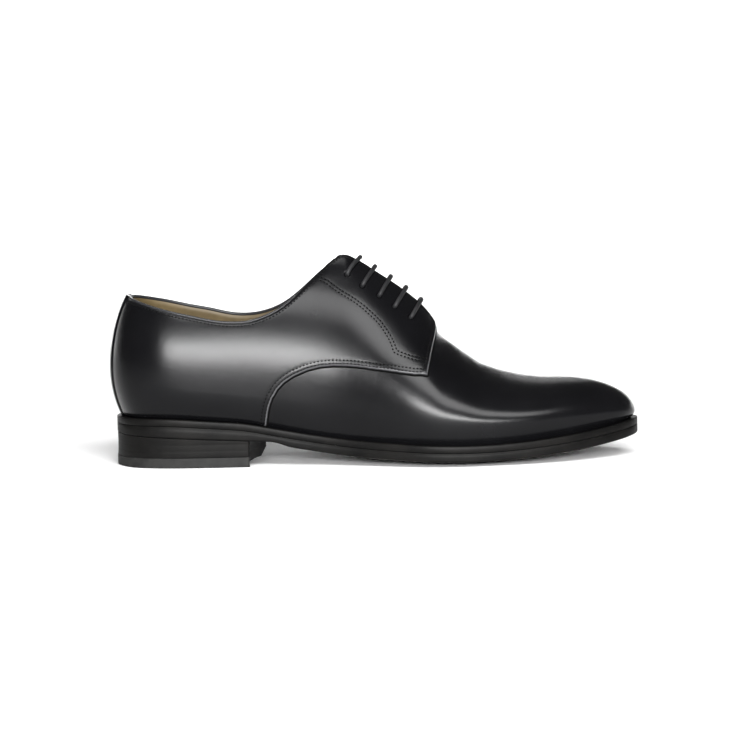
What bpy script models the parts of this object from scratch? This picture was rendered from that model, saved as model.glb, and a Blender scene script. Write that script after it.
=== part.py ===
"""A plain-toe derby shoe for the right foot, built on the sections of its last.

+X runs from the heel to the toe, +Y to the inner (medial) side of the foot, +Z up from the floor.
The upper is one hollow shell: a vamp, and two quarters that lie on it and meet behind the heel.
Sizes and tables are in millimetres until the meshes are made.
"""

import math

import bmesh
import bpy
import numpy as np
from mathutils import Vector
from mathutils.geometry import delaunay_2d_cdt

MM = 0.001

# Driving sizes of the shoe
SOLE_LENGTH = 302.0
BALL_WIDTH = 105.5
INSTEP_HEIGHT = 119.3
WELT_SHOW = 6.5

# Leather and rubber thicknesses
WALL = 1.6
QUARTER_STEP = 1.2
POCKET = 0.4
FACING_STEP = 2.2
FACING_FRONT_RISE = 1.5
TONGUE_TOP_FACE = -0.1
TONGUE_THICKNESS = 2.0
WELT = 3.8
OUTSOLE = 5.0
INSOLE_STAND = 1.5
TOP_PIECE = 5.8
GAP = 0.3

# Bottom of the sole and the heel block
CROWN = 3.8
BREAST_OUTER = 77.6
BREAST_INNER = 85.0
BREAST_HOLLOW = 4.5
SEAT_BACK = 19.0
SEAT_SLOPE = 0.0526
SEAT_END = 88.0
HEEL_INSETS = ((19.0, 0.8), (13.0, 1.7), (TOP_PIECE, 1.2))
TOP_PIECE_OUT = 0.3
CORNER_LENGTH = 4.4
CORNER_HEIGHT = 5.0
CORNER_WIDTH = 9.0

# Throat, tongue and laces
THROAT_HALF = 7.0
THROAT_BACK = 178.0
FACING_TOP = 131.3
POCKET_HALF = 26.0
POCKET_BACK = 133.0
POCKET_TOP = 123.0
TONGUE_BACK = 131.0
EYELET_RADIUS = 1.9
LACE_RADIUS = 1.1
LACE_LEAN = 5.0
LACE_BOW = 0.7
LACE_FACETS = 8

# Centre line of the last, between the middle of the heel and the middle of the toe box
SPINE_BACK = 42.0
SPINE_FRONT = 255.0

# Facet sizes
RIM_STEP = 7.0
GRID_STEP = 7.6
POCKET_STEP = 4.6
LOW_BAND = 20.0
HIGH_BAND = 84.0

# One row per station from the heel to the toe, for the outer and the inner side of the foot.
# along is a share of SOLE_LENGTH, sole of BALL_WIDTH, wide and feather (insets) of WELT_SHOW,
# level (height of the widest line) of INSTEP_HEIGHT; crest is the sharpness of the ridge.
COLUMNS = ("along", "sole_out", "sole_in", "wide_out", "wide_in", "feather_out", "feather_in",
           "level_out", "level_in", "crest_out", "crest_in")
STATIONS = (
    (0.000, 0.000, 0.000, -0.25, -0.25, 0.68, 0.68, 0.469, 0.469, 1.00, 1.00),
    (0.016, 0.163, 0.163, -0.28, -0.28, 0.68, 0.68, 0.457, 0.457, 1.00, 1.00),
    (0.056, 0.271, 0.271, -0.31, -0.31, 0.68, 0.68, 0.427, 0.427, 1.00, 1.00),
    (0.132, 0.318, 0.318, -0.28, -0.34, 0.69, 0.68, 0.386, 0.398, 1.00, 1.00),
    (0.238, 0.317, 0.300, -0.15, -0.49, 0.66, 0.65, 0.352, 0.386, 1.00, 1.00),
    (0.364, 0.324, 0.230, 0.03, -0.69, 0.62, 0.62, 0.319, 0.369, 1.10, 1.10),
    (0.480, 0.398, 0.284, 0.22, -0.46, 0.71, 0.77, 0.268, 0.335, 1.25, 1.20),
    (0.596, 0.502, 0.415, 0.55, 0.25, 0.95, 0.95, 0.222, 0.251, 1.42, 1.38),
    (0.702, 0.495, 0.480, 0.69, 0.68, 1.02, 1.02, 0.197, 0.205, 1.25, 1.25),
    (0.795, 0.439, 0.434, 0.69, 0.69, 1.02, 1.02, 0.201, 0.205, 1.10, 1.10),
    (0.877, 0.351, 0.379, 0.65, 0.66, 1.02, 1.02, 0.212, 0.214, 1.00, 1.00),
    (0.944, 0.232, 0.284, 0.49, 0.52, 0.92, 0.92, 0.216, 0.218, 0.97, 0.97),
    (0.984, 0.118, 0.175, 0.32, 0.34, 0.74, 0.74, 0.213, 0.213, 0.95, 0.95),
    (1.000, -0.028, 0.028, 0.23, 0.23, 0.62, 0.62, 0.208, 0.208, 0.95, 0.95),
)

# Side views: position along the shoe, height
RIDGE = ((42.0, 121.0), (90.0, 121.0), (118.0, 120.0), (131.0, 118.9), (137.0, 118.0), (142.6, 115.8),
         (148.3, 111.7), (154.0, 107.4), (159.8, 103.0), (165.5, 98.2), (171.2, 93.0), (176.0, 88.0),
         (180.0, 82.6), (184.0, 76.8), (188.2, 71.2), (194.0, 66.2), (199.7, 62.0), (205.5, 57.8),
         (211.2, 54.1), (217.0, 51.7), (222.8, 49.8), (228.6, 48.3), (234.4, 47.0), (240.2, 46.2),
         (246.0, 45.6), (251.0, 45.35), (255.0, 45.3))
WELT_TOP = ((-5.0, 28.3), (10.0, 28.3), (21.0, 28.3), (32.5, 28.1), (56.2, 26.5), (78.1, 24.4),
            (86.6, 22.8), (106.6, 19.1), (135.1, 15.1), (163.5, 13.1), (181.6, 12.3), (208.8, 11.9),
            (231.7, 12.8), (254.2, 14.7), (278.6, 17.7), (290.8, 19.6), (303.0, 21.8))
TOPLINE_OUT = ((7.9, 97.0), (19.6, 93.5), (33.0, 89.7), (46.1, 86.7), (59.2, 83.9), (72.3, 82.9),
               (78.8, 83.4), (85.4, 85.2), (96.5, 90.4), (104.3, 96.3), (112.1, 103.7), (119.8, 111.0),
               (127.6, 117.6), (131.5, 119.5))
TOPLINE_IN = ((7.9, 97.0), (19.5, 94.4), (30.7, 91.9), (42.2, 89.1), (53.9, 87.1), (65.6, 85.1),
              (77.3, 85.4), (89.2, 88.3), (101.1, 94.8), (113.1, 105.4), (125.1, 116.0), (131.5, 119.5))
QUARTER_EDGE = ((88.6, 30.5), (89.6, 35.0), (91.4, 39.6), (94.4, 44.3), (98.3, 48.2), (103.7, 51.6),
                (111.4, 54.8), (119.0, 56.6), (126.7, 57.2), (134.3, 57.0), (142.0, 56.3),
                (149.5, 55.3), (157.2, 54.3), (164.7, 53.1), (172.5, 52.0), (179.8, 51.2))
FACING_EDGE = ((181.2, 55.3), (182.4, 59.8), (183.5, 64.2), (184.5, 68.5), (185.2, 72.6), (185.1, 76.6))
FACING_CORNER = 180.6
EYELETS = ((135.2, 108.3), (143.9, 102.2), (153.4, 96.2), (162.1, 89.8), (171.2, 83.4))

# Centre line in plan: position along the shoe, offset to the inner side
SPINE = ((42.0, 0.0), (90.0, 0.2), (132.0, 1.0), (184.0, 4.0), (210.0, 5.2), (235.0, 5.4), (255.0, 5.0))

LEATHER = ("box_calf_black", (0.012, 0.012, 0.013), 0.22, 0.0)
TONGUE_LEATHER = ("tongue_calf_black", (0.014, 0.014, 0.015), 0.32, 0.0)
WELT_LEATHER = ("welt_leather_black", (0.016, 0.015, 0.015), 0.40, 0.0)
SOLE_LEATHER = ("sole_leather_black_edge", (0.018, 0.016, 0.015), 0.45, 0.0)
HEEL_LEATHER = ("heel_lift_leather_black", (0.017, 0.016, 0.015), 0.42, 0.0)
RUBBER = ("top_piece_rubber_black", (0.020, 0.020, 0.020), 0.70, 0.0)
INSOLE_LEATHER = ("insole_leather_tan", (0.46, 0.33, 0.20), 0.60, 0.0)
CORD = ("waxed_cord_black", (0.015, 0.015, 0.016), 0.50, 0.0)


def cubic(knots, values, closed=False):
    """Return a cubic spline through the values, as a function of position and derivative order."""
    k = np.asarray(knots, float)
    y = np.asarray(values, float)
    h = np.diff(k)
    n = len(k)
    slopes = np.diff(y) / h
    a = np.zeros((n, n))
    r = np.zeros(n)
    for i in range(1, n - 1):
        a[i, i - 1:i + 2] = h[i - 1], 2 * (h[i - 1] + h[i]), h[i]
        r[i] = 6 * (slopes[i] - slopes[i - 1])
    if closed:
        a[0, 0], a[0, 1], a[0, n - 2] = 2 * (h[-1] + h[0]), h[0], h[-1]
        r[0] = 6 * (slopes[0] - slopes[-1])
        a[-1, 0], a[-1, -1] = 1, -1
    else:
        a[0, 0] = a[-1, -1] = 1
    m = np.linalg.solve(a, r)

    def at(x, order=0):
        x = np.asarray(x, float)
        inside = k[0] + np.mod(x - k[0], k[-1] - k[0]) if closed else np.clip(x, k[0], k[-1])
        i = np.clip(np.searchsorted(k, inside, side="right") - 1, 0, n - 2)
        s = inside - k[i]
        slope = slopes[i] - h[i] * (2 * m[i] + m[i + 1]) / 6
        bend = (m[i + 1] - m[i]) / h[i]
        first = slope + s * m[i] + s * s * bend / 2
        if order:
            return first
        return y[i] + s * slope + s * s * m[i] / 2 + s ** 3 * bend / 6 + (x - inside) * first * (not closed)

    return at


def curve(table):
    """Return the spline of a side view or plan table."""
    return cubic([row[0] for row in table], [row[1] for row in table])


LAST = len(STATIONS) - 1
SCALES = {"along": SOLE_LENGTH, "sole": BALL_WIDTH, "wide": WELT_SHOW, "feather": WELT_SHOW,
          "level": INSTEP_HEIGHT, "crest": 1.0}


def ring_column(name):
    """Return one column of STATIONS as a closed spline around the shoe, outer side first."""
    def pick(row, side):
        key = name if name == "along" else name + side
        sign = -1 if (name == "sole" and side == "_out") else 1
        return sign * row[COLUMNS.index(key)] * SCALES[name]
    outer = [pick(row, "_out") for row in STATIONS]
    inner = [pick(row, "_in") for row in STATIONS[-2::-1]]
    if name == "sole":
        outer[-1] = pick(STATIONS[-1], "_in")
    return cubic(np.arange(2 * LAST + 1), outer + inner, closed=True)


RING = {name: ring_column(name) for name in SCALES}
ridge_height = curve(RIDGE)
welt_top = curve(WELT_TOP)
spine_side = curve(SPINE)


def smooth(x):
    """Return a soft step from 0 to 1."""
    x = np.clip(x, 0.0, 1.0)
    return x * x * (3 - 2 * x)


def edge_point(t, inset=0.0):
    """Return the plan point of the sole's edge at ring position t, moved inwards by the inset."""
    x, y = RING["along"](t), RING["sole"](t)
    dx, dy = RING["along"](t, 1), RING["sole"](t, 1)
    length = np.hypot(dx, dy)
    return x - inset * dy / length, y + inset * dx / length


def spine_point(t):
    """Return the centre line's point that belongs to ring position t."""
    x = np.clip(RING["along"](t), SPINE_BACK, SPINE_FRONT)
    return x, spine_side(x)


def surface(t, v):
    """Return points of the last: v is -1 at the feather, 0 at the widest line, 1 on the ridge."""
    t, v = np.broadcast_arrays(np.asarray(t, float), np.asarray(v, float))
    ex, ey = edge_point(t, RING["wide"](t))
    fx, fy = edge_point(t, RING["feather"](t))
    cx, cy = spine_point(t)
    level = RING["level"](t)
    turn = np.clip(v, 0, 1) * math.pi / 2
    along = np.cos(turn).clip(0, 1) ** RING["crest"](t)
    down = np.clip(-v, 0, 1)
    x = np.where(v >= 0, cx + (ex - cx) * along, ex + (fx - ex) * down ** 2)
    y = np.where(v >= 0, cy + (ey - cy) * along, ey + (fy - ey) * down ** 2)
    z = np.where(v >= 0, level + (ridge_height(cx) - level) * np.sin(turn),
                 level - (level - welt_top(fx) - GAP) * down)
    return np.stack([x, y, z], -1)


def normal(t, v):
    """Return the outward unit normals of the last, level at the feather so that its rim is flat."""
    t, v = np.broadcast_arrays(np.asarray(t, float), np.asarray(v, float))
    step = 1e-3
    low, high = np.clip(v - step, -1, 0.9985), np.clip(v + step, -0.999, 0.9995)
    n = np.cross(surface(t + step, v.clip(-1, 0.999)) - surface(t - step, v.clip(-1, 0.999)),
                 surface(t, high) - surface(t, low))
    n /= np.linalg.norm(n, axis=-1, keepdims=True)
    n[..., 2] *= smooth((v + 1) / 0.4)
    n /= np.linalg.norm(n, axis=-1, keepdims=True)
    slope = ridge_height(spine_point(t)[0], 1)
    top = np.stack([-slope, 0 * slope, 1 + 0 * slope], -1)
    top /= np.linalg.norm(top, axis=-1, keepdims=True)
    return np.where((v > 0.9985)[..., None], top, n)


def raised(t, v, offset):
    """Return points at a distance outside the last."""
    return surface(t, v) + normal(t, v) * np.asarray(offset, float)[..., None]


def side_t(side, u):
    """Return the ring position of share u from heel to toe, on the outer (-1) or inner (1) side."""
    return LAST * u if side < 0 else 2 * LAST - LAST * u


GUESSES = {}


def guess_grid(side, axis, offset):
    """Return sampled shares and their raised points; above the widest line only for a plan search."""
    key = (side, axis, offset)
    if key not in GUESSES:
        u, v = np.meshgrid(np.linspace(0.02, 0.98, 97), np.linspace(-1 if axis == 2 else 0.02, 0.995, 80))
        GUESSES[key] = u.ravel(), v.ravel(), raised(side_t(side, u), v, offset + 0 * u).reshape(-1, 3)
    return GUESSES[key]


def locate(side, x, other, axis, offset=0.0):
    """Find shares (u, v) whose raised point has this x and this y (axis 1) or z (axis 2)."""
    x, other = np.broadcast_arrays(np.atleast_1d(np.asarray(x, float)), np.asarray(other, float))
    gu, gv, grid = guess_grid(side, axis, offset)
    guess = [np.argmin((grid[:, 0] - a) ** 2 + (grid[:, axis] - b) ** 2) for a, b in zip(x, other)]
    u, v = gu[guess], gv[guess]
    floor = -1.0 if axis == 2 else 0.0
    step = 1e-4
    for _ in range(12):
        p = raised(side_t(side, u), v, offset + 0 * u)
        pu = (raised(side_t(side, u + step), v, offset + 0 * u) - p) / step
        pv = (p - raised(side_t(side, u), v - step, offset + 0 * u)) / step
        rx, ro = x - p[:, 0], other - p[:, axis]
        det = pu[:, 0] * pv[:, axis] - pv[:, 0] * pu[:, axis]
        det = np.where(np.abs(det) < 1e-6, 1e-6, det)
        u = np.clip(u + np.clip((rx * pv[:, axis] - ro * pv[:, 0]) / det, -0.03, 0.03), 0, 1)
        v = np.clip(v + np.clip((ro * pu[:, 0] - rx * pu[:, axis]) / det, -0.1, 0.1), floor, 0.998)
    return u, v


def from_centre(t, v):
    """Return how far points of the last lie from its centre line."""
    p = surface(t, v)
    return np.abs(p[..., 1] - spine_side(p[..., 0]))


def quarter_face(t, v):
    """Return how far the quarters' outer face stands off the last."""
    p = surface(t, v)
    off = from_centre(t, v)
    throat = smooth((40.0 - off) / 12.0) * smooth((p[..., 0] - 112.0) / 14.0)
    front = smooth((p[..., 0] - 158.0) / 24.0) * smooth((30.0 - off) / 14.0)
    return QUARTER_STEP + (FACING_STEP - QUARTER_STEP) * throat + FACING_FRONT_RISE * front


def at_centre_distance(side, x, distance):
    """Find shares (u, v) at positions x and a distance from the centre line."""
    x = np.atleast_1d(np.asarray(x, float))
    return locate(side, x, spine_side(x) + side * np.asarray(distance, float), 1)


U_SAMPLES = np.linspace(0, 1, 1201)
EDGE_X, EDGE_Y = edge_point(LAST * U_SAMPLES)
EDGE_LENGTH = np.concatenate([[0], np.cumsum(np.hypot(np.diff(EDGE_X), np.diff(EDGE_Y)))])
HALF_ROUND = EDGE_LENGTH[-1]


def to_map(u, v):
    """Return the flat map position of shares (u, v)."""
    return np.interp(u, U_SAMPLES, EDGE_LENGTH), np.where(v < 0, v * LOW_BAND, v * HIGH_BAND)


def from_map(a, b):
    """Return the shares (u, v) of a flat map position."""
    u = np.interp(a, EDGE_LENGTH, U_SAMPLES)
    v = np.where(b < 0, b / LOW_BAND, b / HIGH_BAND)
    return u, np.clip(np.where(b > HIGH_BAND - 1e-3, 1.0, v), -1, 1)


def topline(side):
    """Return map points of the collar's edge from the back of the heel to the top of the facing."""
    height = curve(TOPLINE_OUT if side < 0 else TOPLINE_IN)
    top_u, top_v = at_centre_distance(side, FACING_TOP, THROAT_HALF)
    end = to_map(top_u, top_v)[0][0]
    a = np.linspace(0, end, int(end / 5.0) + 1)[:-1]
    u = from_map(a, a)[0]
    t = side_t(side, u)
    low, high = np.zeros_like(u), np.full_like(u, 0.995)
    for _ in range(40):
        mid = (low + high) / 2
        p = raised(t, mid, quarter_face(t, mid))
        under = p[..., 2] < np.where(a > 0, height(p[..., 0]), curve(TOPLINE_OUT)(p[..., 0]))
        low, high = np.where(under, mid, low), np.where(under, high, mid)
    keep = (from_centre(t, low) > THROAT_HALF + 2.0) | (a < end / 2)
    points = np.stack(to_map(u[keep], low[keep]), -1)
    return np.concatenate([points, [[end, to_map(top_u, top_v)[1][0]]]])


def spaced(a, b, step):
    """Return points from a up to, but not including, b."""
    a, b = np.asarray(a, float), np.asarray(b, float)
    count = max(1, round(float(np.linalg.norm(b - a)) / step))
    return [a + (b - a) * i / count for i in range(count)]


def inside(points, polygon):
    """Return which points lie within the polygon."""
    x, y = points[:, 0], points[:, 1]
    found = np.zeros(len(points), bool)
    for (x1, y1), (x2, y2) in zip(polygon, np.roll(polygon, -1, axis=0)):
        if y1 != y2:
            found ^= ((y1 > y) != (y2 > y)) & (x < (x2 - x1) * (y - y1) / (y2 - y1) + x1)
    return found


def clear_of(points, lines, gap):
    """Return which points keep a gap from every line."""
    keep = np.ones(len(points), bool)
    for line in lines:
        for p, q in zip(line[:-1], line[1:]):
            d = q - p
            s = np.clip(((points - p) @ d) / max(d @ d, 1e-9), 0, 1)
            keep &= np.linalg.norm(points - (p + s[:, None] * d), axis=1) > gap
    return keep


def eyelet_centres(side):
    """Return shares (u, v) of the five eyelets; both sides take the outer side's distances."""
    table = np.array(EYELETS)
    u, v = locate(-1, table[:, 0], table[:, 1], 2, FACING_STEP)
    x = surface(side_t(-1, u), v)[:, 0]
    return at_centre_distance(side, x, from_centre(side_t(-1, u), v))


def eyelet_circle(side, u, v):
    """Return map points of one eyelet's hole."""
    step = 1e-4
    p = surface(side_t(side, u), v)
    pu = (surface(side_t(side, u + step), v) - p) / step
    pv = (surface(side_t(side, u), v + step) - p) / step
    first = pv / np.linalg.norm(pv)
    second = pu - first * (pu @ first)
    second /= np.linalg.norm(second)
    ring = []
    for k in range(8):
        angle = (k + 0.5) * math.pi / 4
        reach = EYELET_RADIUS * (first * math.cos(angle) + second * math.sin(angle))
        shares = np.linalg.lstsq(np.stack([pu, pv], 1), reach, rcond=None)[0]
        ring.append(np.array(to_map(u + shares[0], v + shares[1]), float))
    return np.array(ring)


def side_layout(side):
    """Return the map's outlines for one side: whole, quarter, pocket, the lines between, the eyelets."""
    def mapped(shares):
        return np.stack(to_map(*shares), -1)
    edge_top = mapped(at_centre_distance(side, np.linspace(THROAT_BACK, FACING_TOP, 11), THROAT_HALF))
    top = topline(side)[::-1]
    start_u = np.interp(87.5, RING["along"](LAST * U_SAMPLES), U_SAMPLES)
    foot = np.array([[float(to_map(start_u, -1.0)[0]), -LOW_BAND]])
    low_table, front_table = np.array(QUARTER_EDGE), np.array(FACING_EDGE)
    low = mapped(locate(side, low_table[:, 0], low_table[:, 1], 2))
    front = mapped(locate(side, front_table[:, 0], front_table[:, 1], 2, FACING_STEP))
    corner = mapped(at_centre_distance(side, [FACING_CORNER + 0.8, FACING_CORNER, FACING_CORNER - 1.6],
                                       [THROAT_HALF + 6.0, THROAT_HALF + 1.5, THROAT_HALF]))
    seam = np.concatenate([foot, low, front, corner, edge_top[:1]])
    pocket_front = mapped(at_centre_distance(side, [THROAT_BACK] * 5, np.linspace(THROAT_HALF, POCKET_HALF, 5)))
    pocket_side = mapped(at_centre_distance(side, np.linspace(THROAT_BACK, POCKET_BACK, 11)[1:], POCKET_HALF))
    top_u, top_v = from_map(top[:, 0], top[:, 1])
    reach = np.argmin(np.abs(surface(side_t(side, top_u), top_v)[:, 0] - POCKET_TOP))
    pocket = np.concatenate([pocket_front, pocket_side, top[reach:reach + 1]])
    crest = np.array([np.interp(THROAT_BACK, RING["along"](LAST * U_SAMPLES), EDGE_LENGTH), HIGH_BAND])
    outline = spaced((0, -LOW_BAND), foot[0], RIM_STEP) + spaced(foot[0], (HALF_ROUND, -LOW_BAND), RIM_STEP)
    outline += spaced((HALF_ROUND, -LOW_BAND), (HALF_ROUND, 0), 6.7)
    outline += spaced((HALF_ROUND, 0), (HALF_ROUND, HIGH_BAND), RIM_STEP)
    outline += spaced((HALF_ROUND, HIGH_BAND), crest, RIM_STEP)
    outline += spaced(crest, edge_top[0], 4.0)
    outline += list(edge_top) + list(top[1:-1])
    outline += spaced(top[-1], (0, 0), RIM_STEP) + spaced((0, 0), (0, -LOW_BAND), 6.7)
    heel_line = [top[-1], np.array([0.0, -LOW_BAND])]
    quarter = np.concatenate([seam[:-1], edge_top, top[1:], [heel_line[1]]])
    pocket_area = np.concatenate([pocket, top[:reach][::-1], edge_top[::-1][1:-1]])
    holes = [eyelet_circle(side, u, v) for u, v in zip(*eyelet_centres(side))]
    return np.array(outline), quarter, pocket_area, [seam, pocket], holes


def side_triangles(side):
    """Return map points, triangles and the triangles' regions for one side of the upper."""
    outline, quarter, pocket, lines, holes = side_layout(side)
    loops = [np.concatenate([outline, outline[:1]])] + [np.concatenate([h, h[:1]]) for h in holes]
    walls = loops + lines
    columns = np.linspace(0, HALF_ROUND, round(HALF_ROUND / GRID_STEP) + 1)[1:-1]
    rows = np.concatenate([[-LOW_BAND * 0.66, -LOW_BAND * 0.33, 0.0],
                           np.linspace(0, HIGH_BAND, round(HIGH_BAND / GRID_STEP) + 1)[1:-1]])
    coarse = np.array([(a, b) for a in columns for b in rows])
    fine = np.array([(a, b) for a in np.arange(118.0, HALF_ROUND, POCKET_STEP)
                     for b in np.arange(20.0, HIGH_BAND, POCKET_STEP)])
    coarse = coarse[~inside(coarse, pocket) & clear_of(coarse, walls, 3.4)]
    fine = fine[inside(fine, pocket) & clear_of(fine, walls, 2.2)]
    grid = np.concatenate([coarse, fine])
    grid = grid[inside(grid, outline)]
    verts, edges, index = [], [], {}

    def add(p):
        key = (round(float(p[0]), 3), round(float(p[1]), 3))
        if key not in index:
            index[key] = len(verts)
            verts.append(Vector(key))
        return index[key]

    for line in walls:
        chain = [add(p) for p in line]
        edges += [(i, j) for i, j in zip(chain[:-1], chain[1:]) if i != j]
    for p in grid:
        add(p)
    found, _, faces, *_ = delaunay_2d_cdt(verts, edges, [], 0, 1e-4)
    points = np.array([(p.x, p.y) for p in found])
    faces = np.array([f for f in faces if len(f) == 3])
    middles = points[faces].mean(axis=1)
    p, q, r = (points[faces[:, k]] for k in range(3))
    keep = inside(middles, outline) & (np.abs(np.cross(q - p, r - p)) > 1e-3)
    for hole in holes:
        keep &= ~inside(middles, hole)
    faces, middles = faces[keep], middles[keep]
    region = np.where(inside(middles, quarter), 1, 0)
    region = np.where((region == 1) & inside(middles, pocket), 2, region)
    return points, faces, region


def build_upper():
    """Return the upper's mesh: outer and inner faces, rims at the openings and steps at the seams."""
    mesh = bmesh.new()
    for side in (-1, 1):
        points, faces, region = side_triangles(side)
        u, v = from_map(points[:, 0], points[:, 1])
        t = side_t(side, u)
        base, outward = surface(t, v), normal(t, v)
        face_lift = quarter_face(t, v)
        outer = np.stack([0 * v, face_lift, face_lift])
        inner = np.stack([0 * v - WALL, 0 * v - WALL, 0 * v + POCKET])
        levels = [{} for _ in points]

        def vertex(i, height):
            key = round(float(height), 4)
            if key not in levels[i]:
                levels[i][key] = mesh.verts.new((base[i] + outward[i] * key) * MM)
            return levels[i][key]

        sheets = {}
        for f, r in zip(faces, region):
            mesh.faces.new([vertex(i, outer[r, i]) for i in f])
            mesh.faces.new([vertex(i, inner[r, i]) for i in f[::-1]])
            for i, j in zip(f, np.roll(f, -1)):
                sheets.setdefault((min(i, j), max(i, j)), []).append(r)

        def upright(i, j, a, b):
            """Close the gap between two levels along an edge; a and b are level tables."""
            if abs(a[i] - b[i]) < 1e-3 and abs(a[j] - b[j]) < 1e-3:
                return
            def ladder(k, start, end):
                between = sorted(h for h in levels[k] if min(start, end) + 1e-3 < h < max(start, end) - 1e-3)
                if start > end:
                    between.reverse()
                steps = [round(float(start), 4)] + between + [round(float(end), 4)]
                return [vertex(k, h) for h in steps]
            ring = ladder(i, a[i], b[i]) + ladder(j, b[j], a[j])
            ring = [p for n, p in enumerate(ring) if p is not ring[n - 1]]
            if len(ring) > 2:
                mesh.faces.new(ring)

        def shared(i, j):
            ends = points[[i, j]]
            back, toe = ends[:, 0] < 1e-2, ends[:, 0] > HALF_ROUND - 1e-2
            return back.all() or toe.all() or (ends[:, 1] > HIGH_BAND - 1e-2).all()

        for (i, j), found in sheets.items():
            if len(found) == 1 and not shared(i, j):
                upright(i, j, outer[found[0]], inner[found[0]])
            elif len(found) == 2 and found[0] != found[1]:
                upright(i, j, outer[found[0]], outer[found[1]])
                upright(i, j, inner[found[0]], inner[found[1]])
    return mesh


def close_mesh(mesh):
    """Merge, triangulate and turn the faces of a closed mesh outwards."""
    bmesh.ops.remove_doubles(mesh, verts=mesh.verts, dist=0.01 * MM)
    bmesh.ops.dissolve_degenerate(mesh, edges=mesh.edges, dist=0.002 * MM)
    bmesh.ops.triangulate(mesh, faces=mesh.faces, quad_method="BEAUTY", ngon_method="BEAUTY")
    bmesh.ops.recalc_face_normals(mesh, faces=mesh.faces)


def ring_steps():
    """Return ring positions about RIM_STEP apart all round the sole."""
    count = round(HALF_ROUND / RIM_STEP)
    u = np.interp(np.linspace(0, HALF_ROUND, count + 1), EDGE_LENGTH, U_SAMPLES)
    return np.concatenate([side_t(-1, u), side_t(1, u)[::-1][1:-1]])


def skin(mesh, rows):
    """Join rows of points, each a closed loop, by quads from the first row to the last."""
    loops = [[mesh.verts.new(p * MM) for p in row] for row in rows]
    for low, high in zip(loops[:-1], loops[1:]):
        count = len(low)
        for i in range(count):
            j = (i + 1) % count
            mesh.faces.new((low[i], low[j], high[j], high[i]))
    return loops


def plate_row(t, inset, share, height):
    """Return one loop of a plate: share runs from 0 at the inset edge to 1 on the centre line."""
    x, y = edge_point(t, inset)
    cx, cy = spine_point(t)
    x, y = x + (cx - x) * share, y + (cy - y) * share
    return np.stack([x, y, height(x, share)], -1)


def build_plate(top, bottom, inset, shares, round_top, round_bottom):
    """Return a plate between two height functions, with small bevels along its edge."""
    t = ring_steps()
    edge = (top(0 * t, 0) - bottom(0 * t, 0)).min()
    rows = [plate_row(t, inset, s, bottom) for s in shares[::-1]]
    rows.append(plate_row(t, inset + round_bottom, 0, bottom))
    rows.append(plate_row(t, inset, 0, lambda x, s: bottom(x, s) + round_bottom))
    rows.append(plate_row(t, inset, 0, lambda x, s: top(x, s) - round_top))
    rows.append(plate_row(t, inset + round_top, 0, top))
    rows += [plate_row(t, inset, s, top) for s in shares]
    mesh = bmesh.new()
    skin(mesh, rows)
    return mesh


def sole_top(x, share=0.0):
    return welt_top(x) - WELT - GAP


def sole_bottom(x, share=0.0):
    """Return the height of the outsole's underside."""
    seat = SEAT_BACK - SEAT_SLOPE * x
    fore = sole_top(x) - OUTSOLE - CROWN * (1 - (1 - share) ** 2) * smooth((x - 112.0) / 36.0)
    blend = smooth((x - SEAT_END) / 14.0)
    return np.maximum(seat + (fore - seat) * blend, 0.0)


def build_outsole():
    return build_plate(sole_top, sole_bottom, 0.0, (0.12, 0.3, 0.55, 0.8, 1.0), 0.5, 1.0)


def build_insole():
    t = ring_steps()
    inset = RING["feather"](t) + WALL + GAP + 0.5
    bottom = lambda x, s: sole_top(x) + GAP
    top = lambda x, s: welt_top(x) + INSOLE_STAND
    return build_plate(top, bottom, inset, (0.33, 0.66, 1.0), 0.4, 0.4)


def build_welt():
    """Return the strip that the upper stands on, all round the shoe."""
    t = ring_steps()
    under = RING["feather"](t) + WALL + 0.3
    profile = ((0.0, WELT - 0.4), (0.6, WELT), (under, WELT), (under, 0.0), (0.4, 0.0), (0.0, 0.4))
    rows = []
    for inset, height in profile:
        x, y = edge_point(t, inset)
        rows.append(np.stack([x, y, welt_top(x) - WELT + height], -1))
    mesh = bmesh.new()
    skin(mesh, rows + [rows[0]])
    return mesh


def heel_outline(inset):
    """Return the plan outline of the heel: round the back, then across the breast."""
    u = np.linspace(0, 1, 4001)
    ends = [np.interp(x, edge_point(side_t(s, u), 0)[0], u) for s, x in ((-1, BREAST_OUTER), (1, BREAST_INNER))]
    lengths = [np.interp(e, U_SAMPLES, EDGE_LENGTH) for e in ends]
    outer = side_t(-1, np.interp(np.linspace(0, lengths[0], 17), EDGE_LENGTH, U_SAMPLES))
    inner = side_t(1, np.interp(np.linspace(lengths[1], 0, 18), EDGE_LENGTH, U_SAMPLES))
    back = np.stack(edge_point(np.concatenate([inner, outer[1:]]), inset), -1)
    across = np.linspace(0, 1, 10)[1:-1]
    breast = back[-1] + (back[0] - back[-1]) * across[:, None]
    hollow = BREAST_HOLLOW * (1 - (2 * across - 1) ** 2)
    return np.concatenate([back, breast - np.stack([hollow, 0 * hollow], -1)])


def build_block(levels):
    """Return a block of the heel from (height function, inset) pairs, top first."""
    mesh = bmesh.new()
    rows = []
    for height, inset in levels:
        plan = heel_outline(inset)
        rows.append(np.column_stack([plan, height(plan[:, 0])]))
    loops = skin(mesh, rows)
    mesh.faces.new(loops[0])
    mesh.faces.new(loops[-1])
    return mesh


def build_heel_stack():
    seat = lambda x: SEAT_BACK - SEAT_SLOPE * x - 0.1
    levels = [(seat, HEEL_INSETS[0][1])]
    levels += [(lambda x, h=h: 0 * x + h, inset) for h, inset in HEEL_INSETS[1:]]
    return build_block(levels)


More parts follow.
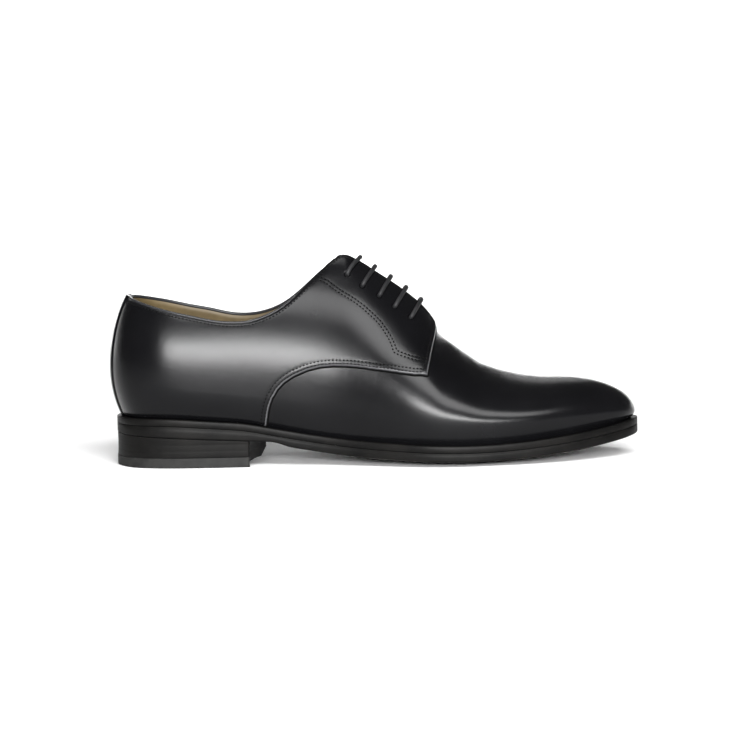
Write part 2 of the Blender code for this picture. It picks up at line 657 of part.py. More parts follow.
def build_top_piece():
    """Return the rubber top piece with its inner front corner cut off."""
    out = -TOP_PIECE_OUT
    levels = ((TOP_PIECE, out + 0.3), (TOP_PIECE - 0.3, out), (0.5, out), (0.0, out + 0.5))
    mesh = build_block([(lambda x, h=h: 0 * x + h, inset) for h, inset in levels])
    corner = Vector((*heel_outline(out)[0], 0.0)) * MM
    first = corner + Vector((-CORNER_LENGTH, 0.5, 0.0)) * MM
    second = corner + Vector((0.0, 0.0, CORNER_HEIGHT)) * MM
    third = corner + Vector((-2.5, -CORNER_WIDTH, 0.0)) * MM
    across = (second - first).cross(third - first)
    if across.x < 0:
        across.negate()
    cut = bmesh.ops.bisect_plane(mesh, geom=mesh.verts[:] + mesh.edges[:] + mesh.faces[:], dist=1e-7,
                                 plane_co=first, plane_no=across, clear_outer=True)
    rim = [e for e in cut["geom_cut"] if isinstance(e, bmesh.types.BMEdge)]
    bmesh.ops.holes_fill(mesh, edges=rim, sides=0)
    return mesh


def build_tongue():
    """Return the tongue: a curved plate under the facings, from the throat up to the collar."""
    half = POCKET_HALF - 0.4
    across = np.array((1.0, 0.8, 0.62, 0.45, 0.3, 0.15, 0.0, 0.15, 0.3, 0.45, 0.62, 0.8, 1.0))
    middle = len(across) // 2
    back = TONGUE_BACK + 8.0 * across ** 2
    x = back + (THROAT_BACK - 0.3 - back) * np.linspace(0, 1, 14)[:, None]
    t, v = np.zeros_like(x), np.ones_like(x)
    for side, part in ((-1, slice(0, middle)), (1, slice(middle + 1, None))):
        wide = x[:, part]
        u, found = at_centre_distance(side, wide.ravel(), np.tile(across[part] * half, len(x)))
        t[:, part], v[:, part] = side_t(side, u).reshape(wide.shape), found.reshape(wide.shape)
    t[:, middle] = side_t(-1, np.interp(x[:, middle], RING["along"](LAST * U_SAMPLES), U_SAMPLES))
    sheets = [raised(t, v, TONGUE_TOP_FACE - depth + 0 * v) for depth in (0.0, TONGUE_THICKNESS)]
    mesh = bmesh.new()
    top, low = [[[mesh.verts.new(p * MM) for p in row] for row in sheet] for sheet in sheets]
    count, width = t.shape
    for i in range(count - 1):
        for j in range(width - 1):
            mesh.faces.new((top[i][j], top[i + 1][j], top[i + 1][j + 1], top[i][j + 1]))
            mesh.faces.new((low[i][j], low[i][j + 1], low[i + 1][j + 1], low[i + 1][j]))
    border = [(i, 0) for i in range(count)] + [(count - 1, j) for j in range(1, width)]
    border += [(i, width - 1) for i in range(count - 2, -1, -1)] + [(0, j) for j in range(width - 2, 0, -1)]
    for (i, j), (k, m) in zip(border, border[1:] + border[:1]):
        mesh.faces.new((top[i][j], low[i][j], low[k][m], top[k][m]))
    return mesh


def tube(path, radius, facets):
    """Return a closed round cord along a path of points."""
    path = np.asarray(path, float)
    mesh = bmesh.new()
    run = np.gradient(path, axis=0)
    run /= np.linalg.norm(run, axis=1, keepdims=True)
    side = np.cross(run[0], (1.0, 0.0, 0.3))
    rings = []
    for point, forward in zip(path, run):
        side = side - forward * (side @ forward)
        side /= np.linalg.norm(side)
        up = np.cross(forward, side)
        angles = (np.arange(facets) + 0.5) * 2 * math.pi / facets
        ring = point + radius * (np.cos(angles)[:, None] * side + np.sin(angles)[:, None] * up)
        rings.append([mesh.verts.new(p * MM) for p in ring])
    for low, high in zip(rings[:-1], rings[1:]):
        for i in range(facets):
            j = (i + 1) % facets
            mesh.faces.new((low[i], low[j], high[j], high[i]))
    mesh.faces.new(rings[0][::-1])
    mesh.faces.new(rings[-1])
    return mesh


def lace_path(number):
    """Return the path of one bar: out of its outer hole, over the facings and into its inner hole."""
    halves = []
    for side in (-1, 1):
        u, v = (s[number] for s in eyelet_centres(side))
        t = side_t(side, u)
        start, outward = surface(t, v), normal(t, v)
        face, reach = float(quarter_face(t, v)), float(from_centre(t, v))
        shares = np.array((0.96, 0.88, 0.76, 0.6, THROAT_HALF / reach))
        lifts = np.array((1.15, 1.4, 1.4, 1.4, 1.4))
        su, sv = at_centre_distance(side, start[0] + LACE_LEAN * (1 - shares ** 1.6), reach * shares)
        st = side_t(side, su)
        rise = [start + outward * (face - 0.9), start + outward * (face + 0.4)]
        halves.append(rise + list(raised(st, sv, quarter_face(st, sv) + lifts)))
    middle = (halves[0][-1] + halves[1][-1]) / 2 + LACE_BOW * normal(side_t(-1, u), np.array(1.0))
    return halves[0] + [middle] + halves[1][::-1]


def add_object(name, mesh, paint):
    """Make one named object from a closed mesh, with its own material."""
    close_mesh(mesh)
    data = bpy.data.meshes.new(name)
    mesh.to_mesh(data)
    mesh.free()
    label, colour, roughness, metallic = paint
    material = bpy.data.materials.get(label) or bpy.data.materials.new(label)
    material.use_nodes = True
    shader = material.node_tree.nodes["Principled BSDF"]
    shader.inputs["Base Color"].default_value = (*colour, 1.0)
    shader.inputs["Roughness"].default_value = roughness
    shader.inputs["Metallic"].default_value = metallic
    data.materials.append(material)
    obj = bpy.data.objects.new(name, data)
    bpy.context.scene.collection.objects.link(obj)
    return obj


def centre(objects):
    """Move the meshes so the shoe stands on z = 0 around the middle of its box."""
    points = np.array([v.co[:] for o in objects for v in o.data.vertices])
    low, high = points.min(axis=0), points.max(axis=0)
    shift = Vector((-(low[0] + high[0]) / 2, -(low[1] + high[1]) / 2, -low[2]))
    for o in objects:
        for v in o.data.vertices:
            v.co += shift
    return shift


def main():
    for old in list(bpy.data.objects):
        bpy.data.objects.remove(old, do_unlink=True)
    objects = [
        add_object("outsole", build_outsole(), SOLE_LEATHER),
        add_object("welt", build_welt(), WELT_LEATHER),
        add_object("heel_stack", build_heel_stack(), HEEL_LEATHER),
        add_object("heel_top_piece", build_top_piece(), RUBBER),
        add_object("insole", build_insole(), INSOLE_LEATHER),
        add_object("upper", build_upper(), LEATHER),
        add_object("tongue", build_tongue(), TONGUE_LEATHER),
    ]
    for number in range(len(EYELETS)):
        cord = tube(lace_path(number), LACE_RADIUS, LACE_FACETS)
        objects.append(add_object("lace_bar_%d" % (number + 1), cord, CORD))
    shift = centre(objects)
    for o in objects:
        box = np.array([v.co[:] for v in o.data.vertices])
        print(o.name, len(o.data.polygons), np.round(box.min(axis=0), 4), np.round(box.max(axis=0), 4))
    print("shift", np.round(np.array(shift[:]), 5))


main()
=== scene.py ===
"""Looks of a black plain-toe derby shoe for the right foot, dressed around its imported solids.

The leather is cut as panels on the last's own surface. Sizes below are in millimetres, with x from
the back of the outsole, y to the inner side and z from the floor. Meshes are in the frame's metres.
"""

import math

import bmesh
import bpy
import numpy as np
from mathutils import Matrix, Vector
from mathutils.geometry import delaunay_2d_cdt
from mathutils.kdtree import KDTree


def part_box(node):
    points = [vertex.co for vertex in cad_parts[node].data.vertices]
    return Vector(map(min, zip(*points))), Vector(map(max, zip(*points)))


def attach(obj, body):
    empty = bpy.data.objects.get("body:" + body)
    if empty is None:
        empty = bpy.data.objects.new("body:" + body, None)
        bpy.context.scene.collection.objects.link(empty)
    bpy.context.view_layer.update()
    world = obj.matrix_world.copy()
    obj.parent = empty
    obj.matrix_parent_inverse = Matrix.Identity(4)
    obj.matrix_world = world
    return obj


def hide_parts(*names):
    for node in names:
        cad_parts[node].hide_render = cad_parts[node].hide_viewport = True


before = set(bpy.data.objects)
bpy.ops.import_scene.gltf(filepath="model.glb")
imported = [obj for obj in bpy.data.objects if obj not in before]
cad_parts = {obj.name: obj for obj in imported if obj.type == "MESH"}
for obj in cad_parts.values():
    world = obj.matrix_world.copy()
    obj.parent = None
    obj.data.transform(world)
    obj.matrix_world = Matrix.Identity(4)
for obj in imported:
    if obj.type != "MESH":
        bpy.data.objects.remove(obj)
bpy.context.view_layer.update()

MM = 0.001
SIDES = ((-1, "outer"), (1, "inner"))

# The last, as the solids have it
SOLE_LENGTH = 302.0
BALL_WIDTH = 105.5
INSTEP_HEIGHT = 119.3
WELT_SHOW = 6.5
WALL = 1.6
QUARTER_STEP = 1.2
FACING_STEP = 2.2
FACING_FRONT_RISE = 1.5
WELT = 3.8
OUTSOLE = 5.0
GAP = 0.3
CROWN = 3.8
SEAT_BACK = 19.0
SEAT_SLOPE = 0.0526
SEAT_END = 88.0
BREAST_OUTER = 77.6
BREAST_INNER = 85.0
BREAST_HOLLOW = 4.5
TOP_PIECE = 5.8
THROAT_HALF = 7.0
THROAT_BACK = 178.0
FACING_TOP = 131.3
FACING_CORNER = 180.6
SPINE_BACK = 42.0
SPINE_FRONT = 255.0
COLUMNS = ("along", "sole_out", "sole_in", "wide_out", "wide_in", "feather_out", "feather_in",
           "level_out", "level_in", "crest_out", "crest_in")
STATIONS = (
    (0.000, 0.000, 0.000, -0.25, -0.25, 0.68, 0.68, 0.469, 0.469, 1.00, 1.00),
    (0.016, 0.163, 0.163, -0.28, -0.28, 0.68, 0.68, 0.457, 0.457, 1.00, 1.00),
    (0.056, 0.271, 0.271, -0.31, -0.31, 0.68, 0.68, 0.427, 0.427, 1.00, 1.00),
    (0.132, 0.318, 0.318, -0.28, -0.34, 0.69, 0.68, 0.386, 0.398, 1.00, 1.00),
    (0.238, 0.317, 0.300, -0.15, -0.49, 0.66, 0.65, 0.352, 0.386, 1.00, 1.00),
    (0.364, 0.324, 0.230, 0.03, -0.69, 0.62, 0.62, 0.319, 0.369, 1.10, 1.10),
    (0.480, 0.398, 0.284, 0.22, -0.46, 0.71, 0.77, 0.268, 0.335, 1.25, 1.20),
    (0.596, 0.502, 0.415, 0.55, 0.25, 0.95, 0.95, 0.222, 0.251, 1.42, 1.38),
    (0.702, 0.495, 0.480, 0.69, 0.68, 1.02, 1.02, 0.197, 0.205, 1.25, 1.25),
    (0.795, 0.439, 0.434, 0.69, 0.69, 1.02, 1.02, 0.201, 0.205, 1.10, 1.10),
    (0.877, 0.351, 0.379, 0.65, 0.66, 1.02, 1.02, 0.212, 0.214, 1.00, 1.00),
    (0.944, 0.232, 0.284, 0.49, 0.52, 0.92, 0.92, 0.216, 0.218, 0.97, 0.97),
    (0.984, 0.118, 0.175, 0.32, 0.34, 0.74, 0.74, 0.213, 0.213, 0.95, 0.95),
    (1.000, -0.028, 0.028, 0.23, 0.23, 0.62, 0.62, 0.208, 0.208, 0.95, 0.95),
)
RIDGE = ((42.0, 121.0), (90.0, 121.0), (118.0, 120.0), (131.0, 118.9), (137.0, 118.0), (142.6, 115.8),
         (148.3, 111.7), (154.0, 107.4), (159.8, 103.0), (165.5, 98.2), (171.2, 93.0), (176.0, 88.0),
         (180.0, 82.6), (184.0, 76.8), (188.2, 71.2), (194.0, 66.2), (199.7, 62.0), (205.5, 57.8),
         (211.2, 54.1), (217.0, 51.7), (222.8, 49.8), (228.6, 48.3), (234.4, 47.0), (240.2, 46.2),
         (246.0, 45.6), (251.0, 45.35), (255.0, 45.3))
WELT_TOP = ((-5.0, 28.3), (10.0, 28.3), (21.0, 28.3), (32.5, 28.1), (56.2, 26.5), (78.1, 24.4),
            (86.6, 22.8), (106.6, 19.1), (135.1, 15.1), (163.5, 13.1), (181.6, 12.3), (208.8, 11.9),
            (231.7, 12.8), (254.2, 14.7), (278.6, 17.7), (290.8, 19.6), (303.0, 21.8))
TOPLINE_OUT = ((7.9, 97.0), (19.6, 93.5), (33.0, 89.7), (46.1, 86.7), (59.2, 83.9), (72.3, 82.9),
               (78.8, 83.4), (85.4, 85.2), (96.5, 90.4), (104.3, 96.3), (112.1, 103.7), (119.8, 111.0),
               (127.6, 117.6), (131.5, 119.5))
TOPLINE_IN = ((7.9, 97.0), (19.5, 94.4), (30.7, 91.9), (42.2, 89.1), (53.9, 86.7), (65.6, 84.0),
              (77.3, 83.4), (89.2, 85.8), (101.1, 92.0), (113.1, 102.6), (125.1, 114.0), (131.5, 118.8))
QUARTER_EDGE = ((88.6, 30.5), (89.6, 35.0), (91.4, 39.6), (94.4, 44.3), (98.3, 48.2), (103.7, 51.6),
                (111.4, 54.8), (119.0, 56.6), (126.7, 57.2), (134.3, 57.0), (142.0, 56.3),
                (149.5, 55.3), (157.2, 54.3), (164.7, 53.1), (172.5, 52.0), (179.8, 51.2))
FACING_EDGE = ((181.2, 55.3), (182.4, 59.8), (183.5, 64.2), (184.5, 68.5), (185.2, 72.6), (185.1, 76.6))
EYELETS = ((135.2, 108.3), (143.9, 102.2), (153.4, 96.2), (162.1, 89.8), (171.2, 83.4))
SPINE = ((42.0, 0.0), (90.0, 0.2), (132.0, 1.0), (184.0, 4.0), (210.0, 5.2), (235.0, 5.4), (255.0, 5.0))

# The facing's front tip: points by how far ahead of its corner and how far off the throat they lie
FACING_TIP = ((2.1, 1.5), (0.6, 0.4), (-1.3, 0.0))

# The line of stitches that holds the facing's lining, and its kink above the front corner
FACING_STITCH = ((119.5, 106.6), (122.9, 105.2), (130.4, 99.5), (139.6, 93.9), (147.1, 88.0), (153.1, 82.6),
                 (157.5, 76.2), (160.4, 70.9), (161.9, 65.7))
FACING_STITCH_FOOT = ((163.3, 65.2), (167.2, 63.7), (174.7, 61.4), (181.0, 60.2))

# Stitches, and how far inside their edges the rows run
STITCH_PITCH = 2.1
STITCH_LENGTH = 1.3
STITCH_RADIUS = 0.41
STITCH_LIFT = 0.09
STITCH_SINK = 0.12
GROOVE = 0.06
GROOVE_WIDTH = 0.5
COLLAR_SEAM = -2.1
FOLD_SEAMS = (1.5, 3.5)
FACING_SEAMS = (-0.95, 0.95)
FRONT_SEAM = 3.1

# The swelling inside the facing's front edge
BEAD_PLACE = 2.0
BEAD_WIDTH = 0.85
BEAD_RISE = 0.42

# The quarters' edges: how deep and wide they are rolled, and how far their cut side goes down
ROLL_DEPTH = 1.0
ROLL_WIDTH = 1.5
SKIRT = 1.6
# Eyelets: the dimple's depth and width, and the room that is kept clear of other points
EYELET_DEPTH = 1.5
EYELET_WIDTH = 1.35
EYELET_CLEAR = 3.42
EYELET_RINGS = (0.5, 1.0, 1.5, 2.0, 2.8)
# The backing's cut edge, near black, which also stands in as painted shadow in the gap under the quarters'
# folded edges: beside the quarter's edge, below its face, and how thick
BACKING_SHADE_IN = -0.3
BACKING_SHADE_DOWN = -1.05
BACKING_SHADE_RADIUS = 0.5

# Where the quarters' face stands further off the last: fades between two places, by x or off the centre
THROAT_ALONG, THROAT_OFF = (90.0, 134.0), (44.0, 16.0)
FRONT_ALONG, FRONT_OFF = (140.0, 182.0), (34.0, 10.0)
TOP_START, TOP_END, TOP_OFF, TOP_RISE = (112.0, 126.0), (142.0, 134.0), (22.0, 6.0), 2.0

# The vamp under the quarters, and how far up the last it reaches there, by x
VAMP_START = 66.0
VAMP_TUCK = 1.2
VAMP_TOP = ((66.0, 90.0, 120.0, 150.0, 172.0, 177.6, 178.6), (-0.4, 0.15, 0.36, 0.45, 0.55, 0.66, 1.0))
# Soft folds where the vamp bends: place on the centre line, lean, depth, width and reach
CREASES = ((203.0, 9.0, 0.06, 2.6, 40.0), (212.5, 12.0, 0.09, 3.0, 44.0), (224.0, 10.0, 0.05, 3.4, 36.0))

# Back strip, binding, tongue and lace
STRIP_HALF = 9.6
BINDING_RADIUS = 0.95
BINDING_LIFT = -0.2
# Painted highlight laid evenly over the binding's bead
BINDING_HIGHLIGHT = 0.25
TONGUE_BACK = 133.0
TONGUE_FRONT = 186.0
TONGUE_HALF = 25.6
TONGUE_THICK = 1.9
LACE_RADIUS = 1.22
LACE_LEANS = (8.0, 7.0, 6.2, 5.7, 4.6)
BRAID_DEPTH = 0.09
BRAID_PITCH = 2.4

# Heel: the joints between its lifts, and the inner corner that is cut off the top piece
LIFT_JOINTS = (9.6, 13.2)
JOINT_HALF = 0.28
JOINT_DEPTH = 0.12
LIFT_INSETS = ((TOP_PIECE, 0.1), (13.0, 0.28), (19.0, 0.08))
TOP_PIECE_OUT = -0.15
CLIP = ((-4.4, 0.5, 0.0), (0.0, 0.0, 5.0), (-2.5, -9.0, 0.0))

# Mesh sizes
PANEL_STEP = 1.45
TOPLINE_STEP = 2.0
ROUND_COLUMNS = 460
HEEL_POINTS = 150
# Heights of the flat pattern below and above the last's widest line
LOW_BAND = 20.0
HIGH_BAND = 84.0


def cubic(knots, values, closed=False):
    """Return a cubic spline through the values, as a function of position and derivative order."""
    k = np.asarray(knots, float)
    y = np.asarray(values, float)
    h = np.diff(k)
    n = len(k)
    slopes = np.diff(y) / h
    a = np.zeros((n, n))
    r = np.zeros(n)
    for i in range(1, n - 1):
        a[i, i - 1:i + 2] = h[i - 1], 2 * (h[i - 1] + h[i]), h[i]
        r[i] = 6 * (slopes[i] - slopes[i - 1])
    if closed:
        a[0, 0], a[0, 1], a[0, n - 2] = 2 * (h[-1] + h[0]), h[0], h[-1]
        r[0] = 6 * (slopes[0] - slopes[-1])
        a[-1, 0], a[-1, -1] = 1, -1
    else:
        a[0, 0] = a[-1, -1] = 1
    m = np.linalg.solve(a, r)

    def at(x, order=0):
        x = np.asarray(x, float)
        inside = k[0] + np.mod(x - k[0], k[-1] - k[0]) if closed else np.clip(x, k[0], k[-1])
        i = np.clip(np.searchsorted(k, inside, side="right") - 1, 0, n - 2)
        s = inside - k[i]
        slope = slopes[i] - h[i] * (2 * m[i] + m[i + 1]) / 6
        bend = (m[i + 1] - m[i]) / h[i]
        first = slope + s * m[i] + s * s * bend / 2
        if order:
            return first
        beyond = (x - inside) * first * (not closed)
        return y[i] + s * slope + s * s * m[i] / 2 + s ** 3 * bend / 6 + beyond

    return at


def curve(table):
    """Return the spline of a side view or plan table."""
    return cubic([row[0] for row in table], [row[1] for row in table])


LAST = len(STATIONS) - 1
SCALES = {"along": SOLE_LENGTH, "sole": BALL_WIDTH, "wide": WELT_SHOW, "feather": WELT_SHOW,
          "level": INSTEP_HEIGHT, "crest": 1.0}


def ring_column(name):
    """Return one column of STATIONS as a closed spline around the shoe, outer side first."""
    def pick(row, side):
        key = name if name == "along" else name + side
        sign = -1 if (name == "sole" and side == "_out") else 1
        return sign * row[COLUMNS.index(key)] * SCALES[name]
    outer = [pick(row, "_out") for row in STATIONS]
    inner = [pick(row, "_in") for row in STATIONS[-2::-1]]
    if name == "sole":
        outer[-1] = pick(STATIONS[-1], "_in")
    return cubic(np.arange(2 * LAST + 1), outer + inner, closed=True)


RING = {name: ring_column(name) for name in SCALES}
ridge_height = curve(RIDGE)
welt_top = curve(WELT_TOP)
spine_side = curve(SPINE)


def smooth(x):
    """Return a soft step from 0 to 1."""
    x = np.clip(x, 0.0, 1.0)
    return x * x * (3 - 2 * x)


def fade(x, start, end):
    """Return a soft step from 0 at the start to 1 at the end."""
    return smooth((x - start) / (end - start))


def edge_point(t, inset=0.0):
    """Return the plan point of the sole's edge at ring position t, moved inwards by the inset."""
    x, y = RING["along"](t), RING["sole"](t)
    dx, dy = RING["along"](t, 1), RING["sole"](t, 1)
    length = np.hypot(dx, dy)
    return x - inset * dy / length, y + inset * dx / length


def spine_point(t):
    """Return the centre line's point that belongs to ring position t."""
    x = np.clip(RING["along"](t), SPINE_BACK, SPINE_FRONT)
    return x, spine_side(x)


def surface(t, v):
    """Return points of the last: v is -1 at the feather, 0 at the widest line, 1 on the ridge."""
    t, v = np.broadcast_arrays(np.asarray(t, float), np.asarray(v, float))
    ex, ey = edge_point(t, RING["wide"](t))
    fx, fy = edge_point(t, RING["feather"](t))
    cx, cy = spine_point(t)
    level = RING["level"](t)
    turn = np.clip(v, 0, 1) * math.pi / 2
    along = np.cos(turn).clip(0, 1) ** RING["crest"](t)
    down = np.clip(-v, 0, 1)
    x = np.where(v >= 0, cx + (ex - cx) * along, ex + (fx - ex) * down ** 2)
    y = np.where(v >= 0, cy + (ey - cy) * along, ey + (fy - ey) * down ** 2)
    z = np.where(v >= 0, level + (ridge_height(cx) - level) * np.sin(turn),
                 level - (level - welt_top(fx)) * down)
    return np.stack([x, y, z], -1)


def normal(t, v):
    """Return the outward unit normals of the last, level at the feather."""
    t, v = np.broadcast_arrays(np.asarray(t, float), np.asarray(v, float))
    step = 1e-3
    low, high = np.clip(v - step, -1, 0.9985), np.clip(v + step, -0.999, 0.9995)
    n = np.cross(surface(t + step, v.clip(-1, 0.999)) - surface(t - step, v.clip(-1, 0.999)),
                 surface(t, high) - surface(t, low))
    n /= np.linalg.norm(n, axis=-1, keepdims=True)
    n[..., 2] *= smooth((v + 1) / 0.4)
    n /= np.linalg.norm(n, axis=-1, keepdims=True)
    slope = ridge_height(spine_point(t)[0], 1)
    top = np.stack([-slope, 0 * slope, 1 + 0 * slope], -1)
    top /= np.linalg.norm(top, axis=-1, keepdims=True)
    return np.where((v > 0.9985)[..., None], top, n)


def raised(t, v, offset):
    """Return points at a distance outside the last."""
    return surface(t, v) + normal(t, v) * np.asarray(offset, float)[..., None]


def side_t(side, u):
    """Return the ring position of share u from heel to toe, on the outer (-1) or inner (1) side."""
    return LAST * u if side < 0 else 2 * LAST - LAST * u


def from_centre(t, v):
    """Return how far points of the last lie from its centre line."""
    p = surface(t, v)
    return np.abs(p[..., 1] - spine_side(p[..., 0]))


def quarter_face(t, v):
    """Return how far the quarters' outer face stands off the last."""
    x, off = surface(t, v)[..., 0], from_centre(t, v)
    throat = fade(off, *THROAT_OFF) * fade(x, *THROAT_ALONG)
    front = fade(x, *FRONT_ALONG) * fade(off, *FRONT_OFF)
    top = fade(x, *TOP_END) * fade(off, *TOP_OFF) * fade(x, *TOP_START)
    return (QUARTER_STEP + (FACING_STEP - QUARTER_STEP) * throat + FACING_FRONT_RISE * front
            + TOP_RISE * top)


GUESSES = {}


def locate(side, x, other, axis, offset=0.0):
    """Find shares (u, v) whose raised point has this x and this y (axis 1) or z (axis 2)."""
    x, other = np.broadcast_arrays(np.atleast_1d(np.asarray(x, float)), np.asarray(other, float))
    key = (side, axis, offset)
    if key not in GUESSES:
        lowest = -1 if axis == 2 else 0.02
        gu, gv = np.meshgrid(np.linspace(0.02, 0.98, 97), np.linspace(lowest, 0.995, 80))
        grid = raised(side_t(side, gu), gv, offset + 0 * gu).reshape(-1, 3)
        GUESSES[key] = gu.ravel(), gv.ravel(), grid
    gu, gv, grid = GUESSES[key]
    guess = [np.argmin((grid[:, 0] - a) ** 2 + (grid[:, axis] - b) ** 2) for a, b in zip(x, other)]
    u, v = gu[guess], gv[guess]
    floor = -1.0 if axis == 2 else 0.0
    step = 1e-4
    for _ in range(12):
        p = raised(side_t(side, u), v, offset + 0 * u)
        pu = (raised(side_t(side, u + step), v, offset + 0 * u) - p) / step
        pv = (p - raised(side_t(side, u), v - step, offset + 0 * u)) / step
        rx, ro = x - p[:, 0], other - p[:, axis]
        det = pu[:, 0] * pv[:, axis] - pv[:, 0] * pu[:, axis]
        det = np.where(np.abs(det) < 1e-6, 1e-6, det)
        u = np.clip(u + np.clip((rx * pv[:, axis] - ro * pv[:, 0]) / det, -0.03, 0.03), 0, 1)
        v = np.clip(v + np.clip((ro * pu[:, 0] - rx * pu[:, axis]) / det, -0.1, 0.1), floor, 0.998)
    return u, v


def at_centre_distance(side, x, distance):
    """Find shares (u, v) at positions x and a distance from the centre line."""
    x = np.atleast_1d(np.asarray(x, float))
    return locate(side, x, spine_side(x) + side * np.asarray(distance, float), 1)


U_SAMPLES = np.linspace(0, 1, 1201)
EDGE_X, EDGE_Y = edge_point(LAST * U_SAMPLES)
EDGE_LENGTH = np.concatenate([[0], np.cumsum(np.hypot(np.diff(EDGE_X), np.diff(EDGE_Y)))])
HALF_ROUND = EDGE_LENGTH[-1]
ORIGIN = np.array([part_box("outsole")[0][0] / MM, 0.0, 0.0])
ORIGIN[1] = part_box("outsole")[0][1] / MM - EDGE_Y.min()


def place(points):
    """Return points of the shoe's own sizes in the frame's metres."""
    return (np.asarray(points, float) + ORIGIN) * MM


def length_at(u):
    """Return the length along the sole's edge, from the heel, at shares u."""
    return np.interp(u, U_SAMPLES, EDGE_LENGTH)


def share_after(length):
    """Return the shares u at lengths along the sole's edge."""
    return np.interp(length, EDGE_LENGTH, U_SAMPLES)


def share_at(x):
    """Return the shares u at which the sole's edge passes x."""
    return np.interp(x, EDGE_X, U_SAMPLES)


def share_up(b):
    """Return the shares v at heights b of the flat pattern."""
    return np.where(b < 0, b / LOW_BAND, b / HIGH_BAND)


def to_map(u, v):
    """Return the flat pattern position of shares (u, v)."""
    return length_at(u), np.where(v < 0, v * LOW_BAND, v * HIGH_BAND)


def mapped(shares):
    """Return the pattern points of a pair of shares (u, v)."""
    return np.stack(to_map(*shares), -1)


def seen(side, table, offset):
    """Find the shares (u, v) of the points (x, z) of a side view table."""
    x, z = np.array(table).T
    return locate(side, x, z, 2, offset)


def from_map(points):
    """Return the shares (u, v) of flat pattern positions."""
    a, b = points[:, 0], points[:, 1]
    return share_after(a), np.clip(np.where(b > HIGH_BAND - 1e-3, 1.0, share_up(b)), -1, 1)


def run_along(points):
    """Return the length from the first point to each point of a path."""
    return np.concatenate([[0], np.cumsum(np.linalg.norm(np.diff(points, axis=0), axis=1))])


def topline(side):
    """Return pattern points of the collar's edge from the back of the heel to the top of the facing."""
    height = curve(TOPLINE_OUT if side < 0 else TOPLINE_IN)
    top_u, top_v = at_centre_distance(side, FACING_TOP, THROAT_HALF)
    end = to_map(top_u, top_v)[0][0]
    a = np.linspace(0, end, int(end / TOPLINE_STEP) + 1)[:-1]
    u = share_after(a)
    t = side_t(side, u)
    low, high = np.zeros_like(u), np.full_like(u, 0.995)
    for _ in range(40):
        mid = (low + high) / 2
        p = raised(t, mid, quarter_face(t, mid))
        under = p[..., 2] < np.where(a > 0, height(p[..., 0]), curve(TOPLINE_OUT)(p[..., 0]))
        low, high = np.where(under, mid, low), np.where(under, high, mid)
    keep = (from_centre(t, low) > THROAT_HALF + 2.0) | (a < end / 2)
    points = mapped((u[keep], low[keep]))
    return np.concatenate([points, [[end, to_map(top_u, top_v)[1][0]]]])


def on_shoe(side, points, offset=None):
    """Return pattern points laid on the last, raised to the quarter's face or to an offset."""
    u, v = from_map(np.asarray(points, float))
    t = side_t(side, u)
    return raised(t, v, quarter_face(t, v) if offset is None else offset + 0 * v)


def dense(side, line, step):
    """Return pattern points along a line at even steps on the shoe."""
    line = np.asarray(line, float)
    between = [np.linspace(p, q, 9)[:-1] for p, q in zip(line[:-1], line[1:])]
    fine = np.concatenate(between + [line[-1:]])
    run = run_along(on_shoe(side, fine, 0.0))
    where = np.linspace(0, run[-1], max(2, round(run[-1] / step) + 1))
    return np.stack([np.interp(where, run, fine[:, k]) for k in (0, 1)], -1)


def round_corners(line, times):
    """Return the line with its corners cut softly, keeping both ends."""
    line = np.asarray(line, float)
    for _ in range(times):
        cut = [line[0]]
        for p, q in zip(line[:-1], line[1:]):
            cut += [p * 0.75 + q * 0.25, p * 0.25 + q * 0.75]
        line = np.array(cut + [line[-1]])
    return line


def shifted(side, line, distance):
    """Return the line moved sideways on the shoe: to its left, seen with a along and b up."""
    u, v = from_map(line)
    t = side_t(side, u)
    step = 1e-3
    here = surface(t, v)
    pa = (on_shoe(side, line + [step, 0], 0.0) - here) / step
    pb = (here - on_shoe(side, line - [0, step], 0.0)) / step
    along = np.gradient(here, axis=0)
    along /= np.linalg.norm(along, axis=1, keepdims=True)
    out = normal(t, v)
    move = np.cross(out, along) * distance * -side
    moved = np.array([p + np.linalg.lstsq(np.stack([da, db], 1), way, rcond=None)[0]
                      for p, da, db, way in zip(line, pa, pb, move)])
    moved[:, 1] = np.clip(moved[:, 1], -LOW_BAND, HIGH_BAND)
    return moved


def inside(points, polygon):
    """Return which points lie within the polygon."""
    x, y = points[:, 0], points[:, 1]
    found = np.zeros(len(points), bool)
    for (x1, y1), (x2, y2) in zip(polygon, np.roll(polygon, -1, axis=0)):
        if y1 != y2:
            found ^= ((y1 > y) != (y2 > y)) & (x < (x2 - x1) * (y - y1) / (y2 - y1) + x1)
    return found


def quarter_lines(side):
    """Return pattern lines of a quarter: lower edge, facing front, facing edge, topline."""
    foot = np.array([[float(length_at(share_at(87.5))), -LOW_BAND]])
    low = np.concatenate([foot, mapped(seen(side, QUARTER_EDGE, 0.0))])
    near_u, near_v = seen(-1, FACING_EDGE, FACING_STEP)
    own_u, own_v = seen(side, FACING_EDGE, FACING_STEP)
    share = np.linspace(0.0, 1.0, len(FACING_EDGE))
    reach = ((1 - share) * from_centre(side_t(side, own_u), own_v)
             + share * from_centre(side_t(-1, near_u), near_v))
    front = mapped(at_centre_distance(side, surface(side_t(-1, near_u), near_v)[:, 0], reach))
    ahead, apart = zip(*FACING_TIP)
    corner = mapped(at_centre_distance(side, FACING_CORNER + np.array(ahead),
                                       THROAT_HALF + np.array(apart)))
    edge = mapped(at_centre_distance(side, np.linspace(THROAT_BACK, FACING_TOP, 24), THROAT_HALF))
    return low, np.concatenate([low[-1:], front, corner]), edge, topline(side)


def tree_of(points):
    """Return a search tree of points."""
    tree = KDTree(len(points))
    for k, p in enumerate(points):
        tree.insert(p, k)
    tree.balance()
    return tree


def tree_along(side, lines, step):
    """Return a search tree of the points of pattern lines, laid on the last."""
    return tree_of(np.concatenate([on_shoe(side, dense(side, line, step), 0.0) for line in lines]))


